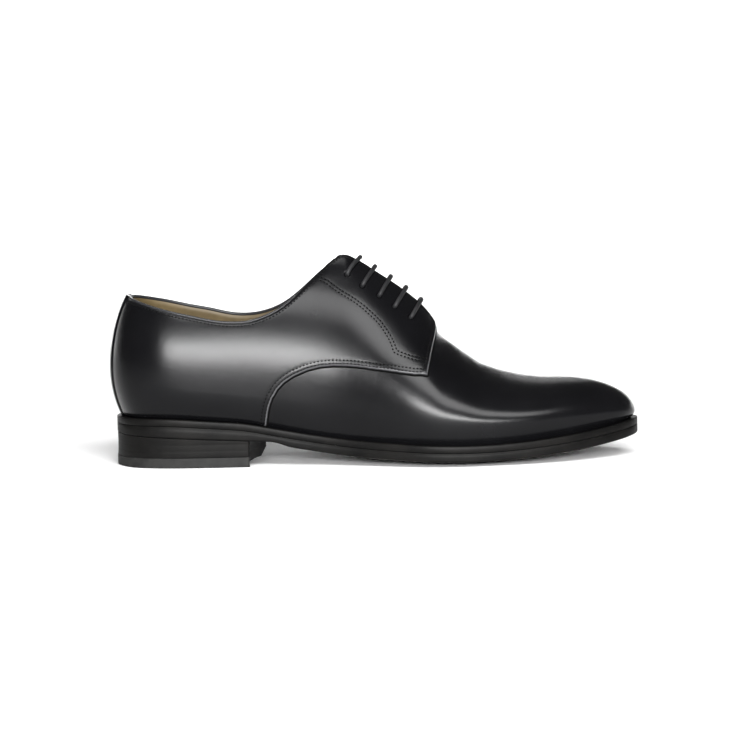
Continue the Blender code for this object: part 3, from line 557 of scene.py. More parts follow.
def distances(tree, points):
    """Return how far each point is from the nearest one of a tree."""
    return np.array([tree.find(p)[2] for p in points])


def pattern_points(side, outline, rolled, holes, grooves, bead):
    """Return the points within a panel's outline: even rows, and closer ones where its face bends."""
    step = PANEL_STEP
    low, high = outline.min(axis=0), outline.max(axis=0)
    rows = np.concatenate([np.arange(-LOW_BAND + 1.2, 0, 1.4), np.arange(0.0, high[1], step)])
    grid = np.array([(a + (0.5 * step if n % 2 else 0.0), b) for n, b in enumerate(rows)
                     for a in np.arange(low[0] + step, high[0], step)])
    grid = grid[inside(grid, outline)]
    for lines, spacing, clear in ((rolled, 0.3, 2.1), ([bead], 0.3, 2.7), (grooves, 0.4, 1.0)):
        tree = tree_along(side, lines, spacing)
        grid = grid[distances(tree, on_shoe(side, grid, 0.0)) > clear]
    border = tree_of(np.pad(outline, ((0, 0), (0, 1))))
    grid = grid[distances(border, np.pad(grid, ((0, 0), (0, 1)))) > step * 0.45]

    extra = [shifted(side, dense(side, line, step * 0.8)[1:-1], w) for line in rolled
             for w in (0.3, 0.65, 1.0, 1.5)]
    extra += [shifted(side, dense(side, bead, step * 0.8)[2:-2], w)
              for w in (BEAD_PLACE - 0.2, BEAD_PLACE + 0.35)]
    extra += [shifted(side, dense(side, line, 0.9), w) for line in grooves for w in (-0.55, 0.0, 0.55)]
    extra = [e[inside(e, outline)] for e in extra if len(e)]
    spokes = [np.array([math.cos(k * math.pi / 6), math.sin(k * math.pi / 6)]) for k in range(12)]
    for centre in holes:
        grid = grid[np.linalg.norm(grid - centre, axis=1) > EYELET_CLEAR]
        extra.append(np.array([centre + spoke * r for r in EYELET_RINGS for spoke in spokes]))
    return np.concatenate([grid] + extra)


def panel(side, outline, rolled, holes, grooves, bead):
    """Cut a leather panel by its pattern outline and last it.

    Rolled lines get a turned-in edge, holes a dimple, grooves a thread's pressed channel, and the bead's
    line a soft swelling between its edge and its stitches.
    """
    verts, index = [], {}

    def add(p):
        key = (round(float(p[0]), 3), round(float(p[1]), 3))
        if key not in index:
            index[key] = len(verts)
            verts.append(Vector(key))
        return index[key]

    loop = [add(p) for p in outline]
    edges = [(i, j) for i, j in zip(loop, loop[1:] + loop[:1]) if i != j]
    for p in pattern_points(side, outline, rolled, holes, grooves, bead):
        add(p)
    found, _, faces, *_ = delaunay_2d_cdt(verts, edges, [], 0, 1e-4)
    flat = np.array([(p.x, p.y) for p in found])
    faces = np.array([f for f in faces if len(f) == 3])
    p, q, r = (flat[faces[:, k]] for k in range(3))
    keep = inside(flat[faces].mean(axis=1), outline) & (np.abs(np.cross(q - p, r - p)) > 1e-3)
    faces = faces[keep]
    u, v = from_map(flat)
    t = side_t(side, u)
    base, out = surface(t, v), normal(t, v)
    from_edge = distances(tree_along(side, rolled, 0.3), base)
    flatness = 1 - np.clip(from_edge / ROLL_WIDTH, 0, 1)
    height = quarter_face(t, v) - ROLL_DEPTH * (1 - np.sqrt(np.clip(1 - flatness ** 2, 0, 1)))
    height -= GROOVE * np.exp(-(distances(tree_along(side, grooves, 0.4), base) / GROOVE_WIDTH) ** 2)
    from_bead = distances(tree_along(side, [bead], 0.3), base)
    height += BEAD_RISE * np.exp(-((from_bead - BEAD_PLACE) / BEAD_WIDTH) ** 2)
    for centre in holes:
        middle = on_shoe(side, [centre], 0.0)[0]
        height -= EYELET_DEPTH * np.exp(-(np.linalg.norm(base - middle, axis=1) / EYELET_WIDTH) ** 4)
    skirt_xyz = place(base + out * (height - SKIRT)[:, None])
    mesh = bmesh.new()
    worn = mesh.verts.layers.float.new("worn")
    top = [mesh.verts.new(c) for c in place(base + out * height[:, None])]
    for f in faces:
        mesh.faces.new([top[i] for i in (f if side < 0 else f[::-1])])
    directed = [(i, j) for f in faces for i, j in zip(f, np.roll(f, -1))]
    known, low_verts = set(directed), {}
    for i, j in directed:
        if (j, i) in known:
            continue
        for k in (i, j):
            if k not in low_verts:
                low_verts[k] = mesh.verts.new(skirt_xyz[k])
        ring = (top[j], top[i], low_verts[i], low_verts[j])
        mesh.faces.new(ring if side < 0 else ring[::-1])
    # Painted highlight in a band just inside the rolled edges, where the folds catch the light
    for vert, highlight_there in zip(top, np.exp(-((from_edge - 0.75) / 0.4) ** 2)):
        vert[worn] = float(highlight_there)
    loose = [vert for vert in mesh.verts if not vert.link_faces]
    bmesh.ops.delete(mesh, geom=loose, context="VERTS")
    return mesh


def eyelet_points(side):
    """Return the pattern points of the five eyelets on one side."""
    u, v = seen(-1, EYELETS, FACING_STEP)
    t = side_t(-1, u)
    return mapped(at_centre_distance(side, surface(t, v)[:, 0], from_centre(t, v)))


# ---------------------------------------------------------------- finishes


class Wire:
    """One value in a shader: arithmetic on it adds the nodes that work it out."""

    def __init__(self, paint, socket):
        self.paint, self.socket = paint, socket

    def maths(self, operation, other):
        return self.paint.node("ShaderNodeMath", {"operation": operation}, {0: self, 1: other})

    def __add__(self, other):
        return self.maths("ADD", other)

    def __mul__(self, other):
        return self.maths("MULTIPLY", other)

    __radd__ = __add__


class Paint:
    """A material under construction, with one Principled shader."""

    def __init__(self, name, colour, roughness, **fixed):
        self.material = bpy.data.materials.new(name)
        self.material.use_nodes = True
        self.nodes = self.material.node_tree.nodes
        self.links = self.material.node_tree.links
        self.shader = self.nodes["Principled BSDF"]
        self.set("Base Color", colour)
        self.set("Roughness", roughness)
        for socket, value in fixed.items():
            self.set(socket.replace("_", " "), value)

    def set(self, socket, value):
        """Give a socket of the shader a constant or a link."""
        self.fill(self.shader.inputs[socket], value)

    def fill(self, socket, value):
        if isinstance(value, Wire):
            self.links.new(value.socket, socket)
        elif isinstance(value, (tuple, list)) and socket.type == "RGBA":
            socket.default_value = (*value, 1.0)
        else:
            socket.default_value = value

    def node(self, kind, settings=None, values=None, output=0):
        """Add a node: its settings first, then its sockets' values or links."""
        made = self.nodes.new(kind)
        for key, value in (settings or {}).items():
            if key == "stops":
                ramp = made.color_ramp
                while len(ramp.elements) < len(value):
                    ramp.elements.new(0.5)
                for element, (position, colour) in zip(ramp.elements, value):
                    element.position, element.color = position, (*colour, 1.0)
            else:
                setattr(made, key, value)
        for key, value in (values or {}).items():
            self.fill(made.inputs[key], value)
        return Wire(self, made.outputs[output])

    def coordinates(self):
        return self.node("ShaderNodeTexCoord", output="Object")

    def attribute(self, name):
        return self.node("ShaderNodeAttribute", {"attribute_name": name}, output="Fac")

    def noise(self, scale, detail=2.0, rough=0.5, where=None):
        return self.node("ShaderNodeTexNoise", {}, {"Vector": where or self.coordinates(), "Scale": scale,
                                                    "Detail": detail, "Roughness": rough})

    def cells(self, scale):
        return self.node("ShaderNodeTexVoronoi", {"feature": "DISTANCE_TO_EDGE"},
                         {"Vector": self.coordinates(), "Scale": scale})

    def stretched(self, x, y, z):
        return self.node("ShaderNodeMapping", {}, {"Vector": self.coordinates(), "Scale": (x, y, z)})

    def ramp(self, value, *stops):
        return self.node("ShaderNodeValToRGB", {"stops": stops}, {"Fac": value})

    def blend(self, mask, first, second):
        made = self.nodes.new("ShaderNodeMix")
        made.data_type = "RGBA"
        self.fill(made.inputs[0], mask)
        self.fill(made.inputs[6], first)
        self.fill(made.inputs[7], second)
        return Wire(self, made.outputs[2])

    def bumps(self, *layers):
        """Chain bump layers of (height, distance in millimetres, strength) into the normal."""
        last = None
        for height, distance, strength in layers:
            values = {"Height": height, "Distance": distance * MM, "Strength": strength}
            if last is not None:
                values["Normal"] = last
            last = self.node("ShaderNodeBump", {}, values)
        self.set("Normal", last)

    def finished(self, shade, roughness, *layers):
        """Give the shader its colour, roughness and bumps, and return the material."""
        self.set("Base Color", shade)
        self.set("Roughness", roughness)
        self.bumps(*layers)
        return self.material


def finish_calf():
    """Black box calf: a tight grain, fine wrinkles and a polish, with a painted highlight along the folded
    edges.
    """
    p = Paint("box_calf_black", (0.012, 0.012, 0.013), 0.3, Coat_Weight=0.45, Coat_Roughness=0.18,
              Coat_IOR=1.2, Specular_IOR_Level=0.16)
    cloud = p.noise(22.0, 3.0)
    grain = p.cells(1500.0)
    pores = p.noise(2600.0, 2.0, 0.6)
    wrinkles = p.noise(330.0, 4.0, 0.62, p.stretched(1.0, 1.0, 0.45))
    worn = p.attribute("worn")
    shade = p.ramp(cloud, (0.3, (0.0030, 0.0030, 0.0036)), (0.7, (0.0055, 0.0055, 0.0062)))
    # Painted highlight: a lighter grey blended in along the folded edges and on the binding
    shade = p.blend(worn * 0.8, shade, (0.12, 0.12, 0.125))
    return p.finished(shade, 0.17 + cloud * 0.08 + pores * 0.05 + worn * 0.05,
                      (grain, 0.05, 0.5), (pores, 0.04, 0.35), (wrinkles, 0.22, 0.3))


def finish_tongue():
    """The tongue's calf, a little softer and duller than the lasted panels."""
    p = Paint("tongue_calf_black", (0.014, 0.014, 0.015), 0.38, Specular_IOR_Level=0.2)
    cloud, grain = p.noise(40.0, 3.0), p.cells(1300.0)
    wrinkles = p.noise(260.0, 4.0, 0.6)
    shade = p.ramp(cloud, (0.3, (0.006, 0.006, 0.007)), (0.7, (0.012, 0.012, 0.013)))
    return p.finished(shade, 0.34 + cloud * 0.12, (grain, 0.06, 0.5), (wrinkles, 0.25, 0.35))


def finish_lining():
    """Tan calf lining in an uneven tone, darkened throughout as painted shade for the inside of the shoe.
    """
    p = Paint("lining_calf_tan", (0.52, 0.38, 0.24), 0.55)
    cloud, fine, grain = p.noise(30.0, 4.0), p.noise(260.0, 3.0), p.cells(900.0)
    # Painted shade: the tan is kept dark to stand for the shadow inside the shoe
    shade = p.ramp(cloud * 0.7 + fine * 0.3, (0.32, (0.060, 0.043, 0.019)), (0.68, (0.104, 0.078, 0.038)))
    return p.finished(shade, 0.48 + fine * 0.18, (grain, 0.05, 0.5), (fine, 0.12, 0.3))


def finish_edge(name, glossy, brushed):
    """Burnished black sole or welt leather: fibres along the edge under a waxed shine."""
    p = Paint(name, (0.016, 0.015, 0.015), glossy, Coat_Weight=0.08, Coat_Roughness=0.25,
              Coat_IOR=1.2, Specular_IOR_Level=0.09)
    fibres = p.noise(420.0, 4.0, 0.65, p.stretched(0.12, 0.12, 1.6) if brushed else None)
    cloud = p.noise(60.0, 3.0)
    shade = p.ramp(cloud, (0.3, (0.004, 0.004, 0.004)), (0.75, (0.010, 0.0095, 0.009)))
    return p.finished(shade, glossy + fibres * 0.16,
                      (fibres, 0.12, 0.5), (p.cells(800.0), 0.04, 0.35))


def finish_underside():
    """Sole leather as cut, dyed black, with short fibres and faint scuffs."""
    p = Paint("sole_leather_black", (0.020, 0.018, 0.017), 0.5)
    cloud, fibres = p.noise(50.0, 4.0), p.noise(700.0, 4.0, 0.6)
    scuffs = p.noise(110.0, 6.0, 0.7, p.stretched(0.25, 1.0, 1.0))
    shade = p.ramp(cloud * 0.6 + scuffs * 0.4, (0.35, (0.014, 0.013, 0.012)),
                   (0.66, (0.036, 0.032, 0.029)))
    return p.finished(shade, 0.4 + scuffs * 0.25, (fibres, 0.1, 0.4), (scuffs, 0.1, 0.25))


def finish_rubber():
    """Matt black rubber with a fine grain."""
    p = Paint("top_piece_rubber_black", (0.013, 0.013, 0.013), 0.62, Specular_IOR_Level=0.3)
    dust, speck = p.noise(150.0, 4.0), p.noise(1800.0, 2.0)
    shade = p.ramp(dust, (0.35, (0.009, 0.009, 0.009)), (0.7, (0.020, 0.020, 0.019)))
    return p.finished(shade, 0.58 + dust * 0.2, (speck, 0.06, 0.5))


def finish_cord():
    """Waxed cotton lace."""
    p = Paint("waxed_cord_black", (0.016, 0.016, 0.017), 0.46, Specular_IOR_Level=0.35)
    fluff, cloud = p.noise(2400.0, 3.0, 0.6), p.noise(200.0, 3.0)
    shade = p.ramp(cloud, (0.3, (0.008, 0.008, 0.009)), (0.7, (0.020, 0.020, 0.021)))
    return p.finished(shade, 0.4 + fluff * 0.25, (fluff, 0.08, 0.5))


def finish_thread():
    """Black waxed thread with the twist of its strands."""
    p = Paint("stitch_thread_black", (0.006, 0.006, 0.006), 0.6, Specular_IOR_Level=0.08)
    twist = p.noise(2600.0, 2.0, 0.5)
    shade = p.ramp(twist, (0.3, (0.003, 0.003, 0.003)), (0.7, (0.008, 0.008, 0.008)))
    return p.finished(shade, 0.5 + twist * 0.2, (twist, 0.05, 0.4))


def finish_backing_shade():
    """The cut, dyed edge of the backing leather: dull, with short fibres, and near black as painted shadow
    under the folded edges.
    """
    # Near black and dull: partly the leather's cut edge, partly painted shadow for the gap under the folds
    p = Paint("backing_shade_black", (0.004, 0.004, 0.004), 0.85, Specular_IOR_Level=0.03)
    fibres = p.noise(1500.0, 3.0, 0.6)
    shade = p.ramp(fibres, (0.3, (0.002, 0.002, 0.002)), (0.7, (0.006, 0.006, 0.006)))
    return p.finished(shade, 0.75 + fibres * 0.2, (fibres, 0.08, 0.5))


def finish_insole():
    """Tan sock leather, smoother than the lining."""
    p = Paint("insole_leather_tan", (0.48, 0.34, 0.21), 0.5)
    cloud, fine = p.noise(24.0, 3.0), p.noise(500.0, 3.0)
    shade = p.ramp(cloud, (0.3, (0.36, 0.24, 0.14)), (0.7, (0.55, 0.40, 0.26)))
    return p.finished(shade, 0.42 + fine * 0.2, (fine, 0.08, 0.4))


CALF = finish_calf()
TONGUE_CALF = finish_tongue()
LINING = finish_lining()
SOLE_EDGE = finish_edge("sole_leather_black_edge", 0.4, True)
WELT_FINISH = finish_edge("welt_leather_black", 0.36, False)
LIFTS = finish_edge("heel_lift_leather_black", 0.42, True)
UNDERSIDE = finish_underside()
RUBBER = finish_rubber()
CORD = finish_cord()
THREAD = finish_thread()
BACKING_SHADE = finish_backing_shade()
SOCK = finish_insole()


# ---------------------------------------------------------------- making


def choose(obj):
    """Select one object alone."""
    bpy.ops.object.select_all(action="DESELECT")
    obj.select_set(True)
    bpy.context.view_layer.objects.active = obj


def edit(obj, *steps):
    """Run edit-mode steps on one object with everything selected."""
    choose(obj)
    bpy.ops.object.mode_set(mode="EDIT")
    bpy.ops.mesh.select_all(action="SELECT")
    for step in steps:
        step()
    bpy.ops.object.mode_set(mode="OBJECT")


def own(obj, name, slot, replaced, *materials):
    """Name a piece, give it its finish and set it on the shoe in place of its solids."""
    obj.name = obj.data.name = name
    obj.data.materials.clear()
    for material in materials:
        obj.data.materials.append(material)
    obj.data.shade_smooth()
    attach(obj, "root")
    if replaced:
        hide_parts(*replaced)
    return obj


def linked(data):
    """Put an object with this mesh in the scene."""
    obj = bpy.data.objects.new(data.name, data)
    bpy.context.scene.collection.objects.link(obj)
    return obj


def made_of(mesh):
    """Make an object of a finished bmesh."""
    data = bpy.data.meshes.new("piece")
    mesh.to_mesh(data)
    mesh.free()
    return linked(data)


def sheet(columns, rows, lay, gap=0.02):
    """Add a grid, lay its points on the shoe and merge those that meet."""
    bpy.ops.object.select_all(action="DESELECT")
    bpy.ops.mesh.primitive_grid_add(x_subdivisions=columns, y_subdivisions=rows, size=2)
    obj = bpy.context.active_object
    flat = np.empty(len(obj.data.vertices) * 3)
    obj.data.vertices.foreach_get("co", flat)
    share = (flat.reshape(-1, 3)[:, :2] + 1) / 2
    obj.data.vertices.foreach_set("co", place(lay(share[:, 0], share[:, 1])).ravel())
    edit(obj, lambda: bpy.ops.mesh.remove_doubles(threshold=gap * MM))
    return obj


def modify(obj, kind, **settings):
    """Add a modifier and apply it."""
    choose(obj)
    modifier = obj.modifiers.new(kind.lower(), kind)
    for key, value in settings.items():
        setattr(modifier, key, value)
    bpy.ops.object.modifier_apply(modifier=modifier.name)
    return obj


def paint_highlight(obj, values):
    """Store how much painted highlight each point of a piece gets."""
    layer = obj.data.attributes.new("worn", "FLOAT", "POINT")
    layer.data.foreach_set("value", np.asarray(values, np.float32))


def ring_at(share):
    """Return ring positions for shares of the way round the shoe, outer side first."""
    run = np.asarray(share, float) * 2 * HALF_ROUND
    outer = run <= HALF_ROUND
    u = share_after(np.where(outer, run, 2 * HALF_ROUND - run))
    return np.where(outer, LAST * u, 2 * LAST - LAST * u)


def stepped(profile, share, count):
    """Return the profile's own points in order, one for each of its rows."""
    table = np.asarray(profile, float)
    index = np.clip(np.round(share * count).astype(int), 0, count)
    return table[index, 0], table[index, 1]


LINES = {side: quarter_lines(side) for side in (-1, 1)}


def vamp_creases(t, v):
    """Return how far the folds behind the toe sink and rise."""
    p = surface(t, v)
    off = p[..., 1] - spine_side(p[..., 0])
    total = 0.0 * off
    for middle, lean, depth, width, reach in CREASES:
        line = p[..., 0] - middle - lean * (off / 30.0) ** 2 - 0.05 * off
        there = smooth((reach - np.abs(off)) / 16.0)
        before, trough, behind = (np.exp(-((line + shift * width) / width) ** 2)
                                  for shift in (-2.1, 0, 2.1))
        total += depth * there * (0.5 * (before + behind) - trough)
    return total


def collar_top(t):
    """Return the share v of the collar's edge at ring positions."""
    result = np.ones_like(t)
    for side in (-1, 1):
        mask = (t <= LAST) if side < 0 else (t > LAST)
        line = LINES[side][3]
        a = length_at(np.where(t <= LAST, t / LAST, (2 * LAST - t) / LAST))
        level = np.interp(a, line[:, 0], line[:, 1] / HIGH_BAND)
        result = np.where(mask, np.where(a > line[-1, 0], 1.0, level), result)
    return result


def make_vamp():
    """The whole front of the upper, lasted in one piece from under the quarters to the toe."""
    reach = length_at(share_at(VAMP_START)) / (2 * HALF_ROUND)

    def lay(across, up):
        t = ring_at(reach + (1 - 2 * reach) * across)
        x = RING["along"](t)
        hidden = smooth((THROAT_BACK + 1.0 - x) / 1.5)
        top = np.interp(x, VAMP_TOP[0], VAMP_TOP[1])
        v = share_up(-LOW_BAND + up * (LOW_BAND + HIGH_BAND))
        v = np.where(v > 0.9995, 1.0, v)
        tuck = -VAMP_TUCK * smooth((v - top + 0.03) / 0.03) * hidden
        v = np.minimum(v, top)
        return raised(t, v, tuck + vamp_creases(t, v))

    vamp = sheet(300, 60, lay)
    paint_highlight(vamp, np.zeros(len(vamp.data.vertices)))
    return own(vamp, "vamp", "upper_leather", ["upper"], CALF)


def seam_lines(side):
    """Return the pattern lines that are sewn on a quarter."""
    low, front, edge, top = LINES[side]
    lines = [shifted(side, dense(side, top, 1.5), COLLAR_SEAM)]
    fold = dense(side, low, 1.5)
    lines += [shifted(side, fold, inward)[1:-2] for inward in FOLD_SEAMS]
    round_front = dense(side, np.concatenate([round_corners(front, 3), edge[1:]]), 1.2)
    lines.append(shifted(side, round_front, FRONT_SEAM)[3:-2])
    bend = mapped(seen(side, FACING_STITCH + FACING_STITCH_FOOT, FACING_STEP))
    bend = dense(side, round_corners(bend, 1), 1.2)
    lines += [shifted(side, bend, inward) for inward in FACING_SEAMS]
    return lines


def make_quarter(side):
    """One side of the upper's back part, with its facing, cut, folded and punched."""
    low, front, edge, top = LINES[side]
    low, front = dense(side, low, 1.4), dense(side, round_corners(front, 2), 0.7)
    edge_fine, top_fine = dense(side, edge, 1.2), dense(side, top, 1.4)
    outline = np.concatenate([low[:-1], front[:-1], edge_fine[:-1], top_fine[::-1],
                              [[0.0, b] for b in np.linspace(top[0][1], -LOW_BAND, 60)[1:-1]],
                              [[a, -LOW_BAND] for a in np.linspace(0.0, low[0][0], 60)[:-1]]])
    mesh = panel(side, outline, [low, front, edge_fine, top_fine], eyelet_points(side), seam_lines(side),
                 np.concatenate([front[:-1], edge_fine]))
    name = "quarter_outer" if side < 0 else "quarter_inner"
    return own(made_of(mesh), name, "upper_leather", ["upper"], CALF)


def make_backing_shade():
    """The dull cut edge of the backing leather along the quarters' folded edges, which also serves as
    painted shadow in the gap below them.
    """
    for side, label in SIDES:
        low, front = LINES[side][:2]
        line = dense(side, np.concatenate([low[:-1], round_corners(front, 2)]), 0.8)
        points = on_face(side, shifted(side, line, BACKING_SHADE_IN), BACKING_SHADE_DOWN)[0]
        own(path_tube(points, BACKING_SHADE_RADIUS, 8), "backing_edge_" + label, "upper_leather", [], BACKING_SHADE)


def make_back_strip():
    """The strip over the seam at the back of the heel, folded over the collar."""
    def lay(across, up):
        a = (2 * across - 1) * STRIP_HALF
        u = share_after(np.abs(a))
        t = np.where(a < 0, 2 * LAST - LAST * u, LAST * u) % (2 * LAST)
        top = collar_top(np.where(t == 0, 0.0, t))
        rise = np.clip(up / 0.9, 0, 1)
        v = share_up(-LOW_BAND + rise * (LOW_BAND + HIGH_BAND * top))
        edge = np.abs(a) / STRIP_HALF
        lift = QUARTER_STEP + 0.75 - 0.85 * smooth((edge - 0.93) / 0.07)
        turn = np.clip((up - 0.9) / 0.1, 0, 1)
        offset = lift * np.cos(turn * math.pi * 0.55) - (WALL + 0.55) * np.sin(turn * math.pi / 2) ** 2
        points = raised(t, v, offset)
        points[:, 2] += 1.2 * np.sin(turn * math.pi) - 4.0 * np.clip(turn - 0.6, 0, 1)
        return points

    strip = sheet(26, 90, lay)
    paint_highlight(strip, np.zeros(len(strip.data.vertices)))
    return own(strip, "back_strip", "upper_leather", ["upper"], CALF)


def make_lining():
    """The tan lining: up to the collar at the back, and over the toes inside the vamp."""
    def lay(across, up):
        t = ring_at(across)
        x = RING["along"](t)
        top = np.minimum(collar_top(t) - 0.004, 1.0)
        top = np.where(x > FACING_TOP + 3.0, 1.0, top)
        v = share_up(-LOW_BAND + up * (LOW_BAND + HIGH_BAND * top))
        v = np.where(v > 0.9995, 1.0, v)
        px = surface(t, v)[..., 0]
        tongue = fade(px, 126.0, 134.0) * fade(px, 196.0, 186.0) * fade(from_centre(t, v), 34.0, 28.0)
        collar = smooth((up - 0.975) / 0.025) * smooth((FACING_TOP - x) / 8.0)
        return raised(t, v, -WALL - 1.0 * tongue + 0.9 * collar)

    lining = sheet(380, 56, lay)
    edit(lining, lambda: bpy.ops.mesh.flip_normals())
    return own(lining, "lining", "insole_leather", ["upper"], LINING)


def path_tube(points, radius, facets, braid=0.0):
    """Return an object for a round cord along points in the shoe's millimetres."""
    points = np.asarray(points, float)
    run = np.gradient(points, axis=0)
    run /= np.linalg.norm(run, axis=1, keepdims=True)
    side = np.cross(run[0], (1.0, 0.0, 0.3))
    angle = np.arange(facets) * 2 * math.pi / facets
    mesh = bmesh.new()
    rings = []
    for point, forward, length in zip(points, run, run_along(points)):
        side = side - forward * (side @ forward)
        side /= np.linalg.norm(side)
        up = np.cross(forward, side)
        turn = length * 2 * math.pi / BRAID_PITCH
        wave = np.sin(3 * angle + turn) * np.sin(3 * angle - turn)
        size = radius * (1 + braid * wave)[:, None]
        ring = point + np.cos(angle)[:, None] * side * size + np.sin(angle)[:, None] * up * size
        rings.append([mesh.verts.new(p) for p in place(ring)])
    for low, high in zip(rings[:-1], rings[1:]):
        for i in range(facets):
            j = (i + 1) % facets
            mesh.faces.new((low[i], low[j], high[j], high[i]))
    mesh.faces.new(rings[0][::-1])
    mesh.faces.new(rings[-1])
    bmesh.ops.recalc_face_normals(mesh, faces=mesh.faces)
    return made_of(mesh)


def smooth_path(points, step):
    """Return points at even steps along a smooth curve through a few points."""
    points = np.asarray(points, float)
    knots = run_along(points)
    where = np.linspace(0, knots[-1], int(knots[-1] / step) + 1)
    return np.stack([cubic(knots, points[:, k])(where) for k in range(3)], -1)


def make_binding():
    """The folded edge of the collar, from one facing over the heel to the other."""
    outer, inner = (on_shoe(side, dense(side, LINES[side][3], 1.2), BINDING_LIFT) for side in (-1, 1))
    bead = path_tube(np.concatenate([outer[::-1], inner[1:]]), BINDING_RADIUS, 12)
    # The binding's bead gets an even painted highlight
    paint_highlight(bead, np.full(len(bead.data.vertices), BINDING_HIGHLIGHT))
    return own(bead, "topline_binding", "upper_leather", ["upper"], CALF)


def make_tongue():
    """The tongue under the laces, rounded along its edges."""
    def lay(along, across):
        share = 2 * across - 1
        back = TONGUE_BACK + 8.0 * share ** 2
        x = back + (TONGUE_FRONT - back) * along
        t, v = np.zeros_like(x), np.ones_like(x)
        for side in (-1, 1):
            mask = (share < -0.01) if side < 0 else (share > 0.01)
            u, found = at_centre_distance(side, x[mask], np.abs(share[mask]) * TONGUE_HALF)
            t[mask], v[mask] = side_t(side, u), found
        middle = np.abs(share) <= 0.01
        t[middle] = side_t(-1, share_at(x[middle]))
        dip = -0.9 * fade(x, 174.0, 178.0)
        sink = -0.7 * smooth((0.34 - np.abs(share)) / 0.2) * smooth((TONGUE_FRONT - x) / 10.0)
        return raised(t, v, -0.12 + dip + sink)

    tongue = sheet(56, 44, lay)
    modify(tongue, "SOLIDIFY", thickness=TONGUE_THICK * MM, offset=-1.0, use_even_offset=True)
    modify(tongue, "BEVEL", width=0.5 * MM, segments=3, limit_method="ANGLE",
           angle_limit=math.radians(50))
    return own(tongue, "tongue_leather", "tongue_leather", ["tongue"], TONGUE_CALF)


def lace_route(number):
    """Return the path of one bar of the lace, from below one eyelet to below the other."""
    halves = []
    for side in (-1, 1):
        u, v = from_map(eyelet_points(side)[number:number + 1])
        u, v = u[0], v[0]
        t = side_t(side, u)
        start, outward = surface(t, v), normal(t, v)
        face, reach = float(quarter_face(t, v)), float(from_centre(t, v))
        shares = np.array((0.96, 0.88, 0.76, 0.6, THROAT_HALF / reach))
        lifts = np.array((1.15, 1.4, 1.4, 1.4, 1.4))
        lean = LACE_LEANS[number] * (1 - shares ** 1.6)
        su, sv = at_centre_distance(side, start[0] + lean, reach * shares)
        st = side_t(side, su)
        rise = [start + outward * (face + up) for up in (-1.5, -0.5, 0.4)]
        halves.append(rise + list(raised(st, sv, quarter_face(st, sv) + lifts)))
    middle = (halves[0][-1] + halves[1][-1]) / 2 + 0.3 * normal(side_t(-1, u), np.array(1.0))
    return halves[0] + [middle] + halves[1][::-1]


def make_laces():
    """The five bars of the lace, each through its two eyelets."""
    for number in range(len(EYELETS)):
        cord = path_tube(smooth_path(lace_route(number), 0.3), LACE_RADIUS, 24, BRAID_DEPTH)
        own(cord, "lace_%d" % (number + 1), "lace_cord", ["lace_bar_%d" % (number + 1)], CORD)


def stitch_form():
    """Model one stitch, a short round thread, with its points and faces in a fixed order."""
    bpy.ops.object.select_all(action="DESELECT")
    bpy.ops.mesh.primitive_uv_sphere_add(segments=7, ring_count=6, radius=1.0)
    obj = bpy.context.active_object
    bpy.ops.object.mode_set(mode="EDIT")
    bpy.ops.mesh.select_all(action="SELECT")
    bpy.ops.transform.rotate(value=math.pi / 2, orient_axis="Y", center_override=(0, 0, 0))
    bpy.ops.object.mode_set(mode="OBJECT")
    verts = np.array([v.co[:] for v in obj.data.vertices])
    order = np.lexsort(np.round(verts, 4).T)
    verts, rank = verts[order], np.argsort(order)
    loops = [rank[list(p.vertices)] for p in obj.data.polygons]
    faces = sorted(tuple(int(i) for i in np.roll(f, -f.argmin())) for f in loops)
    bpy.data.objects.remove(obj, do_unlink=True)
    verts[:, 0] = np.sign(verts[:, 0]) * np.abs(verts[:, 0]) ** 0.75
    return verts, faces


STITCH = stitch_form()


def stitch_row(name, rows):
    """Sew rows of stitches; each row has its points and the outward directions there."""
    verts, faces, count = [], [], 0
    for points, outward in rows:
        run = run_along(points)

        def at(where, columns):
            return np.array([np.interp(where, run, columns[:, c]) for c in range(3)])

        number = max(1, int(run[-1] / STITCH_PITCH))
        for k in range(number):
            where = (k + 0.5) * run[-1] / number
            along = at(where + 0.4, points) - at(where - 0.4, points)
            along /= np.linalg.norm(along)
            up = at(where, outward)
            up = up - along * (up @ along)
            up /= np.linalg.norm(up)
            side = np.cross(up, along)
            local = STITCH[0] * (STITCH_LENGTH / 2, STITCH_RADIUS, STITCH_RADIUS * 0.8)
            local[:, 2] -= STITCH_SINK * (local[:, 0] / (STITCH_LENGTH / 2)) ** 2
            verts.append(at(where, points) + local[:, :1] * along + local[:, 1:2] * side
                         + local[:, 2:] * up)
            faces += [tuple(i + count for i in f) for f in STITCH[1]]
            count += len(local)
    data = bpy.data.meshes.new(name)
    data.from_pydata(place(np.concatenate(verts)).tolist(), [], faces)
    return own(linked(data), name, "upper_leather", [], THREAD)


def on_face(side, line, lift):
    """Return the points and outward directions of a pattern line on the quarter's face."""
    u, v = from_map(line)
    t = side_t(side, u)
    return raised(t, v, quarter_face(t, v) + lift), normal(t, v)


def make_stitching():
    """Sew the rows along the collar, the quarters' edges and the facings."""
    for side, label in SIDES:
        rows = [on_face(side, line, STITCH_LIFT) for line in seam_lines(side)]
        stitch_row("stitches_" + label, rows)


